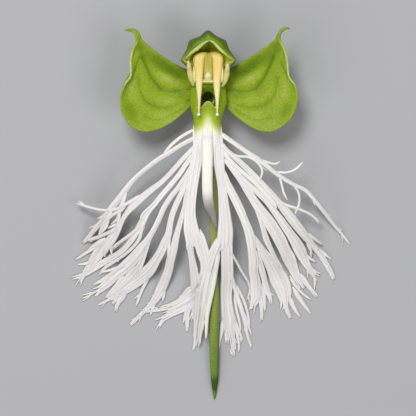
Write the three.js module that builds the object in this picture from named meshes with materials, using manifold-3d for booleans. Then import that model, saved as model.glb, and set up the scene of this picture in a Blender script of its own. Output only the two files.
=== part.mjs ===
// One picked flower of an orchid with a fringed white lip, lying on its back.
// Millimetres, +Z up. The flower's top (its hood) points along +Y, its face looks up.
import * as THREE from "three";
import Module from "manifold-3d";
import { mergeVertices } from "three/addons/utils/BufferGeometryUtils.js";

const wasm = await Module();
wasm.setup();

// Plan points are in plan units, x to the flower's left-to-right, y from its top down.
const UNIT = 0.11;
const AXIS_X = 208;
const DATUM_Y = 100;

// Blades, threads and the clearances between pieces, in millimetres.
const BLADE = 0.6;
const THREAD_WIDTH = 0.5;
const TIP = 0.3;
const WELD = 0.004;
const SHORTEST_EDGE = 0.006;

// Height of the fringe: high at the claw, down on the surface at its tips.
const ROOT_HEIGHT = 4.15;
const DROOP_REACH = 168;
const DROOP_POWER = 2.6;
const LOBE_CENTRE = [208, 125];
const SPUR_CLEARANCE = 1.25;
const SPUR_LEFT_OF = 216;
const SPUR_RAMP = [195, 205];

const LOOKS = {
  hood: { color: 0x6c8a22, roughness: 0.5, metalness: 0 },
  petal: { color: 0xb4bd62, roughness: 0.5, metalness: 0 },
  sepal: { color: 0x93ab38, roughness: 0.45, metalness: 0 },
  column: { color: 0xb5ac50, roughness: 0.45, metalness: 0 },
  anther: { color: 0xe8d78c, roughness: 0.4, metalness: 0 },
  viscidium: { color: 0xf6f8ff, roughness: 0.2, metalness: 0 },
  auricle: { color: 0xd9d38a, roughness: 0.5, metalness: 0 },
  lip: { color: 0xf2f0ee, roughness: 0.55, metalness: 0 },
  spur: { color: 0x8fa057, roughness: 0.4, metalness: 0 },
  ovary: { color: 0x7d9440, roughness: 0.5, metalness: 0 },
};

// Ribs of a lateral sepal from its base to its hooked tip: upper edge x, y, outer edge x, y.
const SEPAL_LEFT = [
  [197, 73, 196.4, 104], [190, 70, 190.5, 107.5], [184, 67.6, 184, 113.5],
  [178.5, 65.2, 176.5, 119.6], [173, 62.6, 167.3, 125.8], [168, 59.5, 156, 130.7],
  [162.5, 56.2, 144.5, 132.3], [157.5, 52.4, 133, 128.5], [153.5, 49.4, 125, 119.8],
  [150, 46.6, 120.6, 108], [147.5, 44.4, 121.2, 94], [145.8, 42.9, 126.8, 83.8],
  [144.2, 41.4, 130.6, 74], [143, 40.1, 130, 62], [142.2, 39.2, 132.2, 50.5],
  [141.4, 37.6, 135.8, 42], [140.7, 35, 135, 37.5], [138.5, 31.2, 133.4, 34.2],
  [133.7, 28.9, 130.5, 32.2], [128.5, 29.2, 128, 31.6], [126.2, 29.8, 126.2, 31.2],
];
const SEPAL_RIGHT = [
  [219.6, 73, 220, 104], [226, 70, 226, 107.8], [232.5, 67.2, 232, 113.9],
  [237.5, 64.3, 239.8, 120.2], [243, 61, 249, 126.6], [248, 58.2, 259.5, 131.4],
  [253.5, 55, 271.5, 132.2], [259, 51.3, 283, 126.6], [263, 48.4, 291.5, 118.2],
  [266.5, 46, 296.2, 108], [269.3, 43.8, 297.4, 94.6], [271.2, 42.4, 293, 83.2],
  [272.8, 41.1, 289.2, 75], [274, 40.2, 288, 64], [275, 39.6, 285.4, 51],
  [275.9, 37.4, 281.4, 43], [276.8, 34.4, 280.2, 37], [279, 30.6, 281.8, 33.4],
  [282.6, 27.6, 284.6, 30.8], [286.6, 27.3, 286.9, 29.7], [288.6, 28.2, 288.6, 29.6],
];
// Height of the upper edge, the outer edge and the hollow between them, rib by rib, in mm.
const SEPAL_LIFT = [
  [3.1, 3.1, 0], [3.25, 3.2, 0], [3.7, 3.4, -0.2],
  [4.2, 3.6, -0.5], [4.6, 3.8, -0.8], [4.8, 4.0, -1.0],
  [4.9, 4.2, -1.1], [5.0, 4.4, -1.1], [5.0, 4.5, -1.1],
  [5.0, 4.6, -1.1], [5.0, 4.7, -1.0], [5.0, 4.7, -0.8],
  [5.0, 4.7, -0.6], [5.0, 4.7, -0.4], [5.0, 4.8, -0.25],
  [5.0, 4.9, -0.1], [5.1, 5.0, 0], [5.25, 5.15, 0],
  [5.45, 5.35, 0], [5.6, 5.5, 0], [5.7, 5.6, 0],
];

// Hood: the widest outline and the rim of its mouth, from the left corner over the top.
const HOOD_OUTLINE = [
  [180.5, 60.4], [183.5, 51], [189.3, 40.4], [198.5, 34], [208, 29.5],
  [217.5, 34], [225.8, 40.4], [232, 51], [236.3, 61],
];
const HOOD_MOUTH = [
  [184, 60.5], [191, 54], [199.5, 49.3], [202.5, 44.5], [209, 40.7],
  [216, 44.4], [218.5, 49], [226, 55.3], [231.5, 60.5],
];
const HOOD_CENTRE = [208, 63];
// Rows of the hood from its foot to its rim: outline scale, share towards the mouth, height.
const HOOD_ROWS = [
  [0.34, 0, 3.05], [0.6, 0, 3.1], [0.82, 0, 3.6], [0.91, 0, 4.6],
  [0.9, 0.12, 5.7], [0.9, 0.38, 6.65], [0.9, 0.66, 7.2],
];
// Rows of the petals, which line the hood and show past its rim.
const PETAL_ROWS = [
  [0.62, 0, 4.15], [0.65, 0, 4.7], [0.67, 0.1, 5.25], [0.72, 0.5, 5.75], [0.86, 0.98, 6.15],
];
const PETAL_MEET = 0.05;
const PETAL_GAP = 0.12;

// Column: the front face between and around the pollen channels.
const COLUMN_FACE = [
  [195.2, 56], [197, 54.3], [201, 53.2], [205.5, 53.6], [208.2, 55], [211, 53.6], [215.5, 53.2],
  [219.5, 54.3], [221.6, 56], [221, 66], [219.8, 77], [221.6, 84], [195.2, 84], [197, 77], [195.6, 66],
];
const COLUMN_MIDDLE = [208.4, 69];
const COLUMN_ROOM = 1.07;
const COLUMN_BACK = 3.65;
const COLUMN_FRONT = 5.3;
const ROSTELLUM = [[208.3, 81, 9, 0.5, 5.2], [208.3, 77, 8, 0.8, 5.35], [208.4, 72.4, 4, 0.5, 5.3]];
// Rods: x, y, width in plan units, depth in mm, height of the centre line in mm.
const ANTHER_LEFT = [
  [199, 55.6, 7, 0.6, 5.9], [199, 58, 11, 0.95, 5.93], [199, 63, 11.4, 1.05, 5.95],
  [199.2, 71, 9, 0.95, 5.95], [199.4, 80, 7, 0.8, 5.95], [199.2, 88, 6.5, 0.7, 5.95],
  [199.4, 97, 4, 0.5, 6.0], [199, 106, 2.8, 0.4, 6.0], [198.9, 112.6, 2, 0.3, 5.95],
];
const ANTHER_RIGHT = [
  [217.4, 55.6, 7, 0.6, 5.9], [217.6, 58, 11, 0.95, 5.93], [217.6, 63, 11.6, 1.05, 5.95],
  [217.2, 71, 9.6, 0.95, 5.95], [217, 80, 7.8, 0.8, 5.95], [217, 88, 7, 0.7, 5.95],
  [217.2, 97, 4.6, 0.5, 6.0], [217.4, 106, 3, 0.4, 6.0], [217.3, 112.6, 2, 0.3, 5.95],
];
const VISCIDIA = { viscidium_left: [198.8, 114.6, 5.93], viscidium_right: [217.3, 114.6, 5.93] };
const VISCIDIUM_RADIUS = 0.17;
const AURICLE_LEFT = [
  [191, 67, 3, 0.4, 5.3], [190.2, 70, 4.8, 0.7, 5.3], [190.6, 76, 5, 0.8, 5.2], [192.2, 81.5, 4, 0.6, 5.0],
];
const AURICLE_RIGHT = [
  [226.1, 67.6, 3, 0.4, 5.3], [226.6, 70.6, 4.8, 0.7, 5.3], [226.1, 77, 5, 0.8, 5.2],
  [224.4, 82.5, 4, 0.6, 5.0],
];

// Claw of the lip: left edge, right edge, y, height of its middle, depth.
const CLAW = [
  [191.2, 225.2, 86, 4.5, 1.6], [190.4, 226.2, 94, 4.5, 1.6], [190, 226.5, 103, 4.5, 1.6],
  [191.3, 224.6, 111, 4.55, 1.5], [193.1, 222.2, 119, 4.6, 1.3], [193.2, 221.2, 127, 4.6, 1.0],
  [194.4, 220.2, 138, 4.55, 0.5],
];
const CLAW_SIDES = 12;
const THROAT = [
  [207.9, 98.3, 13.6, 1.5, 7], [207.9, 98.4, 13.2, 1.45, 5], [207.9, 98, 11.4, 1.3, 3],
];
const COLLAR_TOOTH = [[208.2, 112, 12], [208.2, 106, 8.5], [208.2, 101.6, 3]];
const COLLAR_HEIGHT = 5.0;
const MID_LOBE = [
  [207.5, 116, 8, 0.8, 4.85], [207.4, 130, 11, 0.85, 4.95], [207.4, 150, 11.2, 0.85, 4.9],
  [207.3, 172, 11.2, 0.85, 4.75], [207.4, 190, 11, 0.8, 4.5], [208.2, 200, 10.8, 0.75, 4.15],
  [209.8, 207, 10.5, 0.6, 3.7], [212.4, 213, 8, 0.6, 3.2], [214.8, 220, 6, 0.6, 2.75],
  [217, 227, 4, 0.5, 2.4],
];
const MID_LOBE_SIDES = 8;

// Side lobes and their fringe: x, y and width in plan units along each ribbon.
const SIDE_LOBES = [
  [[198, 119, 7], [197.6, 130, 9.4], [197.5, 148, 9.6], [196.5, 160, 11.6], [193.4, 178, 11],
    [191, 196, 10.4], [190.2, 215, 10.8], [191.2, 229, 14.6], [194.2, 241, 16.5]],
  [[217, 119, 7], [217.2, 130, 9], [218, 148, 10.8], [219.1, 164, 10.6], [221.8, 186, 8.8],
    [223.7, 204, 10.4], [225, 220, 12.6], [225.4, 232, 15], [224.6, 243, 15.4]],
];
const FRINGE_LEFT = [
  [[196, 126.5, 4], [191, 128.4, 3.2], [183.4, 133.4, 3], [174.8, 142, 3], [164, 153, 3]],
  [[197, 135.5, 4], [191, 138.3, 4], [181.5, 143.9, 4], [170, 152.5, 4.4], [156.7, 161.1, 4.6],
    [144.2, 169.8, 4.4], [133.7, 179.3, 4.4], [125.4, 189, 5], [116.4, 201, 5], [106.8, 215, 4.4],
    [95, 231, 4], [83, 242.4, 2]],
  [[128, 186, 3], [126.4, 193.6, 3], [120.6, 204, 3], [113, 212.4, 3], [98, 217.8, 2]],
  [[118.4, 197, 3], [115, 207, 3], [109, 219.4, 4], [99.6, 233.6, 3]],
  [[197, 142, 5], [191, 146, 4], [179.6, 157.3, 4.4], [165.3, 173.6, 4.6], [151.9, 186, 5.4],
    [143.3, 194.6, 6.6], [134.2, 205, 6.6], [123.2, 216.7, 5], [117, 228, 6], [109.6, 242, 10],
    [98.3, 257.4, 9], [88.6, 268.4, 5.4], [83.6, 273.4, 3]],
  [[143.6, 194, 4], [128.9, 202.3, 3.2], [117.4, 208.6, 2.6], [103, 210, 2.4], [88.7, 207, 2.2], [76, 203.2, 2]],
  [[118.4, 226.4, 4], [103, 235, 4], [90, 239.4, 3.4], [82.6, 243, 2]],
  [[109, 239, 5], [92.5, 249.8, 3.4], [82, 255.5, 3], [74.8, 260.2, 1.6]],
  [[96, 256, 4], [86, 263, 3], [77, 264.2, 2]],
  [[110.6, 243, 4], [111.4, 254.6, 2]],
  [[195, 149, 6], [188.6, 158, 5], [179.6, 174.6, 5], [168, 186.6, 4.6], [158.6, 199.4, 4.8],
    [148, 214.7, 5], [143.4, 222.4, 7], [135, 237, 5.4], [126.6, 249, 5], [113, 259.4, 4.6],
    [100.4, 266.6, 5], [88.6, 272.4, 5], [80, 276, 3.4], [70.6, 278.6, 2]],
  [[143, 222, 4], [130.8, 234.4, 3.4], [111.6, 247.4, 3], [103, 253, 2.6]],
  [[145.4, 222, 4], [139.6, 238.3, 3.2], [127.6, 252.4, 3], [113.6, 262.6, 3.2], [98.3, 271, 3.2],
    [88, 276.4, 3], [79, 282.8, 2]],
  [[192.4, 164, 5], [187, 173, 4.6], [177.7, 187, 5], [168, 202.3, 5.4], [159.5, 216.7, 5.6],
    [152.6, 231, 6.6], [143.4, 246, 9.6], [132.6, 259, 12.6], [120.6, 270.6, 13.6], [109.6, 280, 9],
    [99, 287.6, 5], [92, 292.6, 3], [81.6, 299, 2]],
  [[126, 258, 4], [113.6, 265.4, 3.6], [98.3, 274.8, 2]],
  [[114, 272, 5], [104, 279.4, 3.6], [92.4, 284.8, 2]],
  [[116, 276, 5], [106, 287, 3.2], [95.2, 296.4, 2]],
  [[126, 268, 5], [118.6, 281.6, 3.6], [106, 296.8, 2]],
  [[153, 230, 5], [149.4, 248, 4.6], [145.4, 259.4, 5.6], [141, 270, 7]],
  [[189, 170, 4], [185.4, 179.3, 4.4], [180.6, 196.6, 5.4], [172.6, 215.7, 5.2], [168.4, 231, 6.4],
    [160.8, 245, 7], [152, 259.3, 9.4], [141.6, 271.6, 13], [131, 283, 14], [122.4, 291.6, 10],
    [117.6, 299, 5], [115.4, 304.6, 3.4], [114.8, 311.8, 2]],
  [[124.6, 286, 7], [114, 294.6, 5], [106.6, 300.6, 3.4], [97.2, 305.8, 2]],
  [[122, 293, 4], [111.6, 305.8, 2]],
  [[150.6, 270, 4], [146.6, 281, 3], [141.3, 291.9, 2.8], [136, 306.2, 2]],
  [[189.6, 186, 4], [186.4, 195, 4], [183.4, 212, 4.4], [177.8, 231, 5], [173, 249, 6.4],
    [169.6, 262, 8.4], [165, 277, 8.8], [159.4, 290.4, 9.4], [151.6, 301, 7], [143.6, 311, 4],
    [136, 319, 3.4], [130.4, 325.2, 2]],
  [[168.4, 232, 3.2], [168.6, 246, 3], [169, 262, 4]],
  [[163, 285, 5], [163.4, 293, 4], [162.4, 301.6, 2]],
  [[157, 293, 5], [154.6, 305, 3], [150.4, 315.8, 2]],
  [[192, 236, 9], [190.6, 249, 8.4], [193.4, 263, 7], [194.4, 278, 6.6], [196, 291, 7], [197.6, 303, 7]],
  [[199, 238, 8], [203.4, 248, 9], [206.4, 256, 7.4], [206.4, 266, 5]],
  [[203, 276, 8], [197, 287, 12], [187, 296.4, 9.6], [177.6, 303, 6], [167, 308.4, 4], [156, 311, 3],
    [144.2, 311.6, 2]],
  [[196, 298, 8], [184, 306.6, 7], [173, 313.4, 5.4], [165.6, 317.4, 3.4], [159.4, 321.6, 2]],
  [[196, 290, 4], [187, 290.4, 3], [178.4, 297.6, 2]],
  [[191, 300, 5], [186.8, 312, 3.4], [186.8, 332, 2]],
  [[196, 302, 5], [193.4, 312, 3.4], [190.6, 320.6, 2]],
];
const FRINGE_RIGHT = [
  [[218, 130, 4], [223.6, 134.6, 4.4], [235.7, 142.6, 4.4], [249, 152.4, 4.4], [260.2, 159.9, 4.4],
    [270.4, 169, 4], [278.6, 175.2, 4], [291.8, 183.4, 3.6], [306, 190.5, 3.6], [315.3, 200.7, 3.8],
    [324.5, 212, 4], [334.7, 225.2, 3.2], [342, 233.6, 2.6], [350.4, 244.6, 2]],
  [[259, 157.6, 2], [269.4, 162.4, 2], [276, 163.7, 2], [280.2, 161.2, 2]],
  [[275, 171.6, 2], [287.8, 172.2, 2], [297, 168, 2], [302.8, 161.8, 2]],
  [[278.6, 175, 2], [281.6, 184.4, 2], [283.7, 192.6, 2], [287.4, 200, 2]],
  [[291, 183, 2], [298.4, 192.2, 2], [299.2, 203, 2], [294.9, 214, 2]],
  [[219, 139, 5], [225, 147.6, 4], [236, 157.6, 5], [246, 169, 5], [256, 180, 6], [266.3, 190.5, 6],
    [275.5, 200.7, 6.4], [286.7, 211.6, 6.4], [297, 223.4, 7], [305.6, 235.6, 7], [312, 245.6, 5],
    [322, 256, 4.4], [328.4, 266, 3.4], [334.2, 279.2, 2]],
  [[230, 151.6, 3], [237, 155.4, 2.4], [249, 156.8, 2.4], [257, 162, 2.2], [262, 170, 2], [260.2, 180, 2]],
  [[274, 198, 3], [284, 204.6, 2.6], [298, 209.4, 2.4], [311.5, 215.6, 2.2], [319.8, 222.2, 2]],
  [[303, 232, 3], [313, 237.6, 2.8], [322.4, 244.8, 2]],
  [[310, 243, 3], [321, 251.4, 3], [332, 260, 2]],
  [[304, 234, 4], [306.6, 245, 3], [309.6, 258, 3], [313.6, 269, 3], [319.7, 276.6, 2]],
  [[222, 150, 5], [229, 161, 4], [240.8, 171.4, 3], [251, 181.3, 4], [261.2, 192.6, 4.4],
    [271.4, 203.8, 4], [278.4, 215, 4.4], [288.4, 226.8, 5], [299, 241, 4.4], [308, 252, 4],
    [313.6, 262, 2]],
  [[221.4, 154, 6], [226.6, 163, 5.6], [234.4, 174.2, 6.4], [244.9, 189.5, 7.4], [254, 202.4, 9],
    [263, 216.6, 10], [272.4, 232.6, 11.4], [282, 248.6, 12.6], [291, 265, 12], [299, 277.4, 9],
    [306, 286.6, 5], [311.6, 291.4, 3], [317.2, 297, 2]],
  [[240, 180, 3], [253, 192.6, 2.6], [265.3, 202.8, 2.6], [278, 215.4, 2.6], [289, 231, 3]],
  [[261, 214, 4], [267.4, 232, 3], [274.2, 248, 3], [280.6, 262, 4]],
  [[298, 270, 5], [309, 277.6, 3], [317.6, 281.6, 2]],
  [[293, 274, 5], [299.6, 284, 3], [303.8, 289.4, 2]],
  [[222.6, 170, 6], [226.4, 181, 7], [231.8, 196.6, 9], [239.6, 212, 7.4], [244.9, 224.8, 7],
    [249.4, 240, 8.4], [252.8, 258, 10.4], [256, 276, 11.6], [257.4, 290, 10], [255.4, 300.6, 5],
    [252.2, 309.4, 2]],
  [[258, 284, 6], [260.6, 299, 4], [262.6, 310, 3], [262.2, 321, 2]],
  [[253.6, 254, 6], [261.4, 270.6, 6], [265.4, 285, 5], [269.4, 294, 3.4], [271.8, 304, 2]],
  [[261.6, 282, 5], [264.4, 298, 3], [265, 312, 2]],
  [[245.6, 222, 5], [253.6, 233, 6], [263.4, 246.4, 8], [272.4, 260, 11], [279.6, 273.4, 13.6],
    [285, 285.6, 12], [289, 297, 8], [294.6, 307.4, 4.6], [301, 317.8, 2]],
  [[281, 280, 7], [283.4, 295, 5], [286, 307, 3.6], [290.6, 319.2, 2]],
  [[285, 276, 6], [294.6, 290, 5], [303, 303, 3.6], [312, 314.6, 2]],
  [[284, 270, 4], [293.4, 284.6, 3.4], [302, 293.6, 2.6], [312, 300.2, 2]],
  [[225, 240, 14], [226.6, 256, 11.4], [226.9, 276, 10.4], [228, 300, 11], [229, 320, 12],
    [230.4, 334, 7], [232.4, 345, 3], [233.9, 357, 2]],
  [[226, 322, 6], [222.4, 334, 3], [221.4, 348.3, 2]],
  [[232.6, 322, 5], [237, 336, 3], [239.7, 349.6, 2]],
  [[233, 318, 4], [238, 330, 3], [242.4, 341.4, 2]],
  [[229, 258, 4], [232.4, 274.6, 4.6], [236, 295.7, 5.4], [241.6, 314.8, 6], [246, 328, 4],
    [249.4, 340, 3], [251.7, 349, 2]],
  [[233.6, 282, 4], [243.6, 303.3, 3.6], [247.6, 314, 2.8], [249.8, 325.4, 2]],
  [[243, 320, 4], [250.8, 336, 2]],
  [[228, 248, 3], [233, 254.4, 2.2], [241.7, 274.6, 2.2], [250, 293, 2.2], [247.2, 301, 2]],
  [[221, 236, 9], [216, 245, 9], [210.4, 256.6, 10], [205.6, 269, 12], [201.6, 283, 13],
    [198.4, 297, 11], [196.6, 311, 8], [195.6, 326, 5], [193.6, 350.6, 2]],
  [[214, 250, 6], [214, 262, 6.4], [210, 280, 8], [206.4, 297, 8.4], [203.4, 314, 7.4],
    [201, 329, 5], [198, 346.4, 2]],
  [[208.6, 296, 5], [208.4, 318, 3.4], [205.8, 338.8, 2]],
];

// Spur: a nectar tube that leaves the throat backwards and runs down on the surface.
const SPUR = [
  [207.8, 97.6, 18, 2, 3.52], [207.9, 98.4, 17, 1.85, 3.0], [208.2, 103, 14.6, 1.6, 2.3],
  [209, 112, 11.6, 1.28, 1.6], [210.5, 128, 9.8, 1.08, 1.05], [213, 155, 9.2, 1.02, 0.7],
  [214.3, 190, 9, 0.99, 0.5], [214.3, 240, 9.1, 1, 0.5], [214.3, 300, 9.6, 1.06, 0.53],
  [214.3, 342, 10, 1.1, 0.55], [214.3, 363, 9.4, 1.04, 0.52], [214.5, 377, 7.8, 0.86, 0.43],
  [214.5, 388, 5.4, 0.6, 0.3], [214.5, 395, 3, 0.34, 0.2], [214.4, 399.6, 1.2, 0.14, 0.16],
];
const SPUR_SIDES = 10;
const SPUR_MOUTH = [
  [207.8, 97.4, 11.6, 1.26, 4], [207.8, 97.6, 11.4, 1.25, 3.52], [207.9, 98.4, 10.6, 1.16, 3.0],
  [208.2, 102.2, 8.6, 0.94, 2.4], [208.8, 109, 4.6, 0.5, 1.8],
];

// Ovary: a short cut stub that runs back under the hood, ribbed, with a small flat to rest on.
const OVARY = [
  [208, 84, 9, 1, 3.0], [208, 81, 14, 1.5, 2.65], [208, 75, 17, 1.85, 2.05],
  [208, 66, 18.4, 2, 1.4], [208, 55, 18.8, 2.06, 1.0], [208, 43.5, 18.4, 2.02, 0.95],
];
const OVARY_SIDES = 12;
const OVARY_GROOVE = 0.9;
const SLAB = 60;

/** Point on the flower for plan x, y and a height in millimetres. */
function place(x, y, z) {
  return new THREE.Vector3((x - AXIS_X) * UNIT, (DATUM_Y - y) * UNIT, z);
}

/** Closed skin over rings of an even number of points, its ends filled in strips. */
function skin(rings) {
  const size = rings[0].length;
  const half = size / 2;
  const points = rings.flat();
  const faces = [];
  for (let i = 0; i < rings.length - 1; i += 1) {
    for (let k = 0; k < size; k += 1) {
      const a = i * size + k;
      const b = i * size + ((k + 1) % size);
      const c = b + size;
      const d = a + size;
      if (k < half) {
        faces.push([a, b, c], [a, c, d]);
      } else {
        faces.push([a, b, d], [b, c, d]);
      }
    }
  }
  const last = (rings.length - 1) * size;
  for (let k = 0; k < half - 1; k += 1) {
    const far = size - 1 - k;
    faces.push([k + 1, k, far], [k + 1, far, far - 1]);
    faces.push([last + k, last + k + 1, last + far], [last + k + 1, last + far - 1, last + far]);
  }
  return { points, faces };
}

/** Volume inside a skin, negative if its faces point inwards. */
function volume({ points, faces }) {
  let sum = 0;
  for (const [a, b, c] of faces) {
    sum += points[a].dot(points[b].clone().cross(points[c])) / 6;
  }
  return sum;
}

/** Solid for cutting and joining, from a skin whose faces may point either way. */
function solid(shape) {
  const turned = volume(shape) < 0;
  const vertProperties = new Float32Array(shape.points.flatMap((p) => p.toArray()));
  const triVerts = new Uint32Array(shape.faces.flatMap(([a, b, c]) => (turned ? [a, c, b] : [a, b, c])));
  return new wasm.Manifold(new wasm.Mesh({ numProp: 3, vertProperties, triVerts }));
}

/** Joins corners that share a very short edge, and drops the faces that this flattens. */
function weld(body, reach = SHORTEST_EDGE) {
  const { vertProperties, triVerts } = body.simplify(WELD).getMesh();
  const points = Array.from({ length: vertProperties.length / 3 }, (_, i) =>
    new THREE.Vector3().fromArray(vertProperties, 3 * i));
  const heads = points.map((_, i) => i);
  const head = (i) => (heads[i] === i ? i : head(heads[i]));
  const corners = Array.from({ length: triVerts.length / 3 }, (_, i) => [...triVerts.slice(3 * i, 3 * i + 3)]);
  for (const [a, b, c] of corners) {
    for (const [from, to] of [[a, b], [b, c], [c, a]]) {
      if (head(from) !== head(to) && points[from].distanceTo(points[to]) < reach) {
        heads[Math.max(head(from), head(to))] = Math.min(head(from), head(to));
      }
    }
  }
  const faces = new Map();
  for (const face of corners.map((ids) => ids.map(head))) {
    const key = [...face].sort((a, b) => a - b).join();
    if (new Set(face).size === 3 && !faces.delete(key)) {
      faces.set(key, face);
    }
  }
  return solid({ points, faces: [...faces.values()] });
}

/** Blade round a grid of middle points, as thick on both sides of it as asked. */
function blade(rows, thickness = BLADE) {
  const rings = rows.map((row, i) => {
    const before = rows[Math.max(i - 1, 0)];
    const after = rows[Math.min(i + 1, rows.length - 1)];
    const offsets = row.map((point, j) => {
      const along = after[j].clone().sub(before[j]);
      const across = row[Math.min(j + 1, row.length - 1)].clone().sub(row[Math.max(j - 1, 0)]);
      return along.cross(across).normalize().multiplyScalar(thickness / 2);
    });
    const front = row.map((point, j) => point.clone().add(offsets[j]));
    const back = row.map((point, j) => point.clone().sub(offsets[j]));
    return [...front, ...back.reverse()];
  });
  return solid(skin(rings));
}

/** Ring of an oval rod round a centre, square across its direction of travel. */
function oval(centre, travel, width, depth, sides, groove = 1) {
  const side = new THREE.Vector3(1, 0, 0);
  side.addScaledVector(travel, -side.dot(travel)).normalize();
  const up = side.clone().cross(travel);
  return Array.from({ length: sides }, (_, k) => {
    const angle = ((k + 0.5) / sides) * 2 * Math.PI;
    const reach = k % 2 === 0 ? 1 : groove;
    return centre.clone()
      .addScaledVector(side, (Math.cos(angle) * reach * width) / 2)
      .addScaledVector(up, (Math.sin(angle) * reach * depth) / 2);
  });
}

/** Oval rod through stations of x, y, width, depth and height. */
function rod(stations, sides, groove = 1) {
  const spine = stations.map(([x, y, , , z]) => place(x, y, z));
  const rings = spine.map((centre, i) => {
    const travel = spine[Math.min(i + 1, spine.length - 1)].clone();
    travel.sub(spine[Math.max(i - 1, 0)]).normalize();
    return oval(centre, travel, stations[i][2] * UNIT, stations[i][3], sides, groove);
  });
  return solid(skin(rings));
}

/** Height of the fringe's underside at a plan point: drooping, but clear over the spur. */
function droop(x, y) {
  const reach = Math.hypot(x - LOBE_CENTRE[0], y - LOBE_CENTRE[1]) / DROOP_REACH;
  const overSpur = x < SPUR_LEFT_OF ? THREE.MathUtils.smoothstep(x, ...SPUR_RAMP) * SPUR_CLEARANCE : 0;
  return Math.max(ROOT_HEIGHT * (1 - reach ** DROOP_POWER), overSpur, 0);
}

/** Flat thread of diamond section along plan points, its last point drawn to a tip. */
function ribbon(path, height = droop) {
  const rings = path.map(([x, y, width], i) => {
    const [fromX, fromY] = path[Math.max(i - 1, 0)];
    const [toX, toY] = path[Math.min(i + 1, path.length - 1)];
    const length = Math.hypot(toX - fromX, toY - fromY);
    const tip = i === path.length - 1 && width <= 3;
    const half = (tip ? TIP : Math.max(width * UNIT, THREAD_WIDTH)) / 2 / UNIT;
    const acrossX = (-(toY - fromY) / length) * half;
    const acrossY = ((toX - fromX) / length) * half;
    const thick = tip ? TIP : BLADE;
    const low = height(x, y);
    return [
      place(x + acrossX, y + acrossY, low + thick / 2),
      place(x, y, low + thick),
      place(x - acrossX, y - acrossY, low + thick / 2),
      place(x, y, low),
    ];
  });
  return solid(skin(rings));
}

/** Lateral sepal: a hollowed blade between its upper and outer edges, with a hooked tip. */
function lateralSepal(ribs) {
  const columns = 7;
  const rows = ribs.map(([ux, uy, lx, ly], i) => {
    const [upper, outer, hollow] = SEPAL_LIFT[i];
    return Array.from({ length: columns + 1 }, (_, j) => {
      const share = j / columns;
      const lift = THREE.MathUtils.lerp(upper, outer, share) + hollow * 4 * share * (1 - share);
      return place(THREE.MathUtils.lerp(ux, lx, share), THREE.MathUtils.lerp(uy, ly, share), lift);
    });
  });
  return blade(rows);
}

/** Point of the hood's vault, s from its left corner (0) over the top to its right corner (1). */
function vault(s, scale, towardsMouth) {
  const sample = (outline) => {
    const at = Math.min(s * (outline.length - 1), outline.length - 1 - 1e-9);
    const from = outline[Math.floor(at)];
    const to = outline[Math.floor(at) + 1];
    const share = at - Math.floor(at);
    return [THREE.MathUtils.lerp(from[0], to[0], share), THREE.MathUtils.lerp(from[1], to[1], share)];
  };
  const wide = sample(HOOD_OUTLINE);
  const mouth = sample(HOOD_MOUTH);
  return wide.map((value, axis) => {
    const scaled = HOOD_CENTRE[axis] + (value - HOOD_CENTRE[axis]) * scale;
    return THREE.MathUtils.lerp(scaled, mouth[axis], towardsMouth);
  });
}

/** Blade of the vault between two shares of its arch. */
function vaultBlade(rowsOfVault, from, to, columns, thickness = BLADE) {
  const rows = rowsOfVault.map(([scale, towardsMouth, height]) =>
    Array.from({ length: columns + 1 }, (_, j) => {
      const [x, y] = vault(THREE.MathUtils.lerp(from, to, j / columns), scale, towardsMouth);
      return place(x, y, height);
    }));
  return blade(rows, thickness);
}

/** Petal: lines its half of the hood, cut clear of it and of the column. */
function petal(from, to) {
  const hoodRoom = vaultBlade(HOOD_ROWS, 0, 1, 16, BLADE + 2 * PETAL_GAP);
  const columnRoom = plate(COLUMN_ROOM, COLUMN_BACK - BLADE, COLUMN_FRONT + PETAL_GAP);
  return vaultBlade(PETAL_ROWS, from, to, 8).subtract(hoodRoom).subtract(columnRoom).simplify(WELD);
}

/** Plate with the column's outline, grown round its middle by a factor. */
function plate(grow, from, to) {
  const [middleX, middleY] = COLUMN_MIDDLE;
  const outline = new THREE.Shape(COLUMN_FACE.map(([x, y]) => {
    const corner = place(middleX + (x - middleX) * grow, middleY + (y - middleY) * grow, 0);
    return new THREE.Vector2(corner.x, corner.y);
  }));
  const geometry = new THREE.ExtrudeGeometry(outline, { depth: to - from, bevelEnabled: false });
  geometry.translate(0, 0, from);
  geometry.deleteAttribute("normal");
  geometry.deleteAttribute("uv");
  const merged = mergeVertices(geometry, WELD);
  const corners = merged.attributes.position;
  const points = Array.from({ length: corners.count }, (_, i) => new THREE.Vector3().fromBufferAttribute(corners, i));
  const ids = merged.index.array;
  const faces = Array.from({ length: ids.length / 3 }, (_, i) => [ids[3 * i], ids[3 * i + 1], ids[3 * i + 2]]);
  return solid({ points, faces });
}

/** Column: a plate with the rostellum's tooth standing on it. */
function column() {
  return plate(1, COLUMN_BACK, COLUMN_FRONT).add(rod(ROSTELLUM, 8));
}

/** Lip: claw with its throat and collar, mid-lobe, side lobes and fringe, grown as one. */
function lip() {
  const claw = CLAW.map(([left, right, y, height, depth]) => [(left + right) / 2, y, right - left, depth, height]);
  const rings = claw.map(([x, y, width, depth, height]) => {
    const centre = place(x, y, height);
    return Array.from({ length: CLAW_SIDES }, (_, k) => {
      const angle = ((k + 0.5) / CLAW_SIDES) * 2 * Math.PI;
      const bulge = (value) => Math.sign(value) * Math.abs(value) ** 0.6;
      return centre.clone().add(new THREE.Vector3(
        (bulge(Math.cos(angle)) * width * UNIT) / 2 / bulge(Math.cos(Math.PI / CLAW_SIDES)),
        0,
        (bulge(Math.sin(angle)) * depth) / 2,
      ));
    });
  });
  let body = solid(skin(rings)).subtract(rod(THROAT, 12));
  body = body.add(ribbon(COLLAR_TOOTH, () => COLLAR_HEIGHT - BLADE));
  body = body.add(rod(MID_LOBE, MID_LOBE_SIDES));
  for (const path of [...SIDE_LOBES, ...FRINGE_LEFT, ...FRINGE_RIGHT]) {
    body = body.add(ribbon(path));
  }
  return weld(body);
}

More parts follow.
